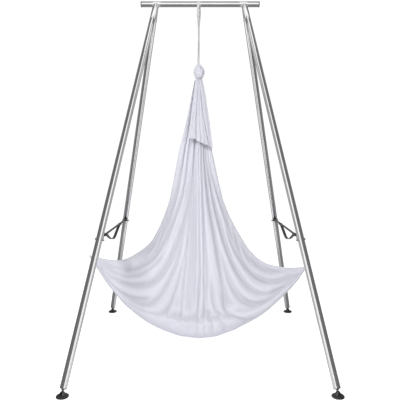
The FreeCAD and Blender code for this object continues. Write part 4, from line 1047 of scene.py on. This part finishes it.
card("card_front", [(-0.52, -2.4, 0), (0.52, -2.4, 0), (0.12, -2.4, 6.5), (-0.12, -2.4, 6.5)], 1.45)
for n, x in (("left", -1.75), ("right", 1.75)):
    card("card_" + n, [(x, -2.4, 0), (x, -0.15, 0), (x, -0.15, 6.5), (x, -2.4, 6.5)], 0.20)
    card("card_rear_" + n, [(x, -0.15, 0), (x, 3.4, 0), (x, 3.4, 6.5), (x, -0.15, 6.5)], 0.33)
card("card_front_left", [(-1.75, -2.42, 0), (-0.50, -2.42, 0), (-0.10, -2.42, 6.5), (-1.75, -2.42, 6.5)], 0.24)
card("card_front_right", [(0.50, -2.42, 0), (1.75, -2.42, 0), (1.75, -2.42, 6.5), (0.10, -2.42, 6.5)], 0.24)
card("card_floor_left", [(-1.75, -2.4, 0.003), (-0.87, -2.4, 0.003), (-0.87, 3.4, 0.003), (-1.75, 3.4, 0.003)], 0.24)
card("card_floor_right", [(0.87, -2.4, 0.003), (1.75, -2.4, 0.003), (1.75, 3.4, 0.003), (0.87, 3.4, 0.003)], 0.24)
card("card_middle_front", [(0, -1.7, 0.004), (0, -1.25, 0.004), (0, -0.60, 4.6), (0, -1.7, 4.6)], 1.40)
card("card_middle_low", [(0, -1.25, 0.004), (0, -0.30, 0.004), (0, -0.30, 0.9), (0, -1.12, 0.9)], 0.62)
card("card_middle", [(0, -1.12, 0.9), (0, -0.30, 0.9), (0, -0.30, 4.6), (0, -0.60, 4.6)], 0.50)
card("card_middle_rear_low", [(0, -0.30, 0.004), (0, 3.4, 0.004), (0, 3.4, 0.9), (0, -0.30, 0.9)], 0.62, 1.40)
card("card_middle_rear", [(0, -0.30, 0.9), (0, 3.4, 0.9), (0, 3.4, 4.6), (0, -0.30, 4.6)], 0.50, 1.40)
card("card_top", [(-0.9, -1.9, 4.4), (0.9, -1.9, 4.4), (0.9, -0.72, 4.4), (-0.9, -0.72, 4.4)], 1.45)
card("card_top_rear", [(-0.9, -0.72, 4.4), (0.9, -0.72, 4.4), (0.9, 3.0, 4.4), (-0.9, 3.0, 4.4)], 0.72)
# small cards close to the bar, left out where the legs meet it
for n, (xa, xb) in enumerate(((-0.53, -0.420), (-0.352, 0.352), (0.420, 0.53))):
    for part, (ya, za, yb, zb), strength in (("bright", (-0.12, 2.885, -0.12, 2.998), 1.40), ("low", (-0.12, 2.80, -0.12, 2.885), 0.17),
                                             ("under", (-0.12, 2.80, 0.09, 2.80), 0.28), ("high", (-0.12, 2.998, -0.12, 3.15), 0.50),
                                             ("over", (-0.12, 3.15, 0.45, 3.15), 0.50)):
        if part == "bright":
            if n == 1:
                card("card_bar_bright", [(-0.53, ya, za), (0.53, ya, za), (0.53, yb, zb), (-0.53, yb, zb)], strength)
            continue
        card("card_bar_%s_%d" % (part, n), [(xa, ya, za), (xb, ya, za), (xb, yb, zb), (xa, yb, zb)], strength)

floor = Nodes("pale_floor")
fl_noise = floor.noise(floor.coords(), 3.0, 3.0)
fl_tone = floor.ramp(fl_noise, "Fac", [(0.3, (0.93, 0.93, 0.93)), (0.7, (0.96, 0.96, 0.96))])
floor.link(fl_tone, "Color", floor.bsdf, "Base Color")
floor.bsdf.inputs["Roughness"].default_value = 0.8
floor.bsdf.inputs["Emission Color"].default_value = (1, 1, 1, 1)
fl_path = floor.add("ShaderNodeLightPath")
fl_mul = floor.add("ShaderNodeMath", operation="MULTIPLY")
fl_mul.inputs[1].default_value = 0.62
floor.link(fl_path, "Is Camera Ray", fl_mul, 0)
floor.link(fl_mul, "Value", floor.bsdf, "Emission Strength")
bm = bmesh.new()
bmesh.ops.create_grid(bm, x_segments=8, y_segments=8, size=30)
fme = bpy.data.meshes.new("floor")
bm.to_mesh(fme)
bm.free()
floor_ob = collection_link(bpy.data.objects.new("floor", fme))
floor_ob.location = (0, 0, -0.0005)
set_material(floor_ob, floor.mat)
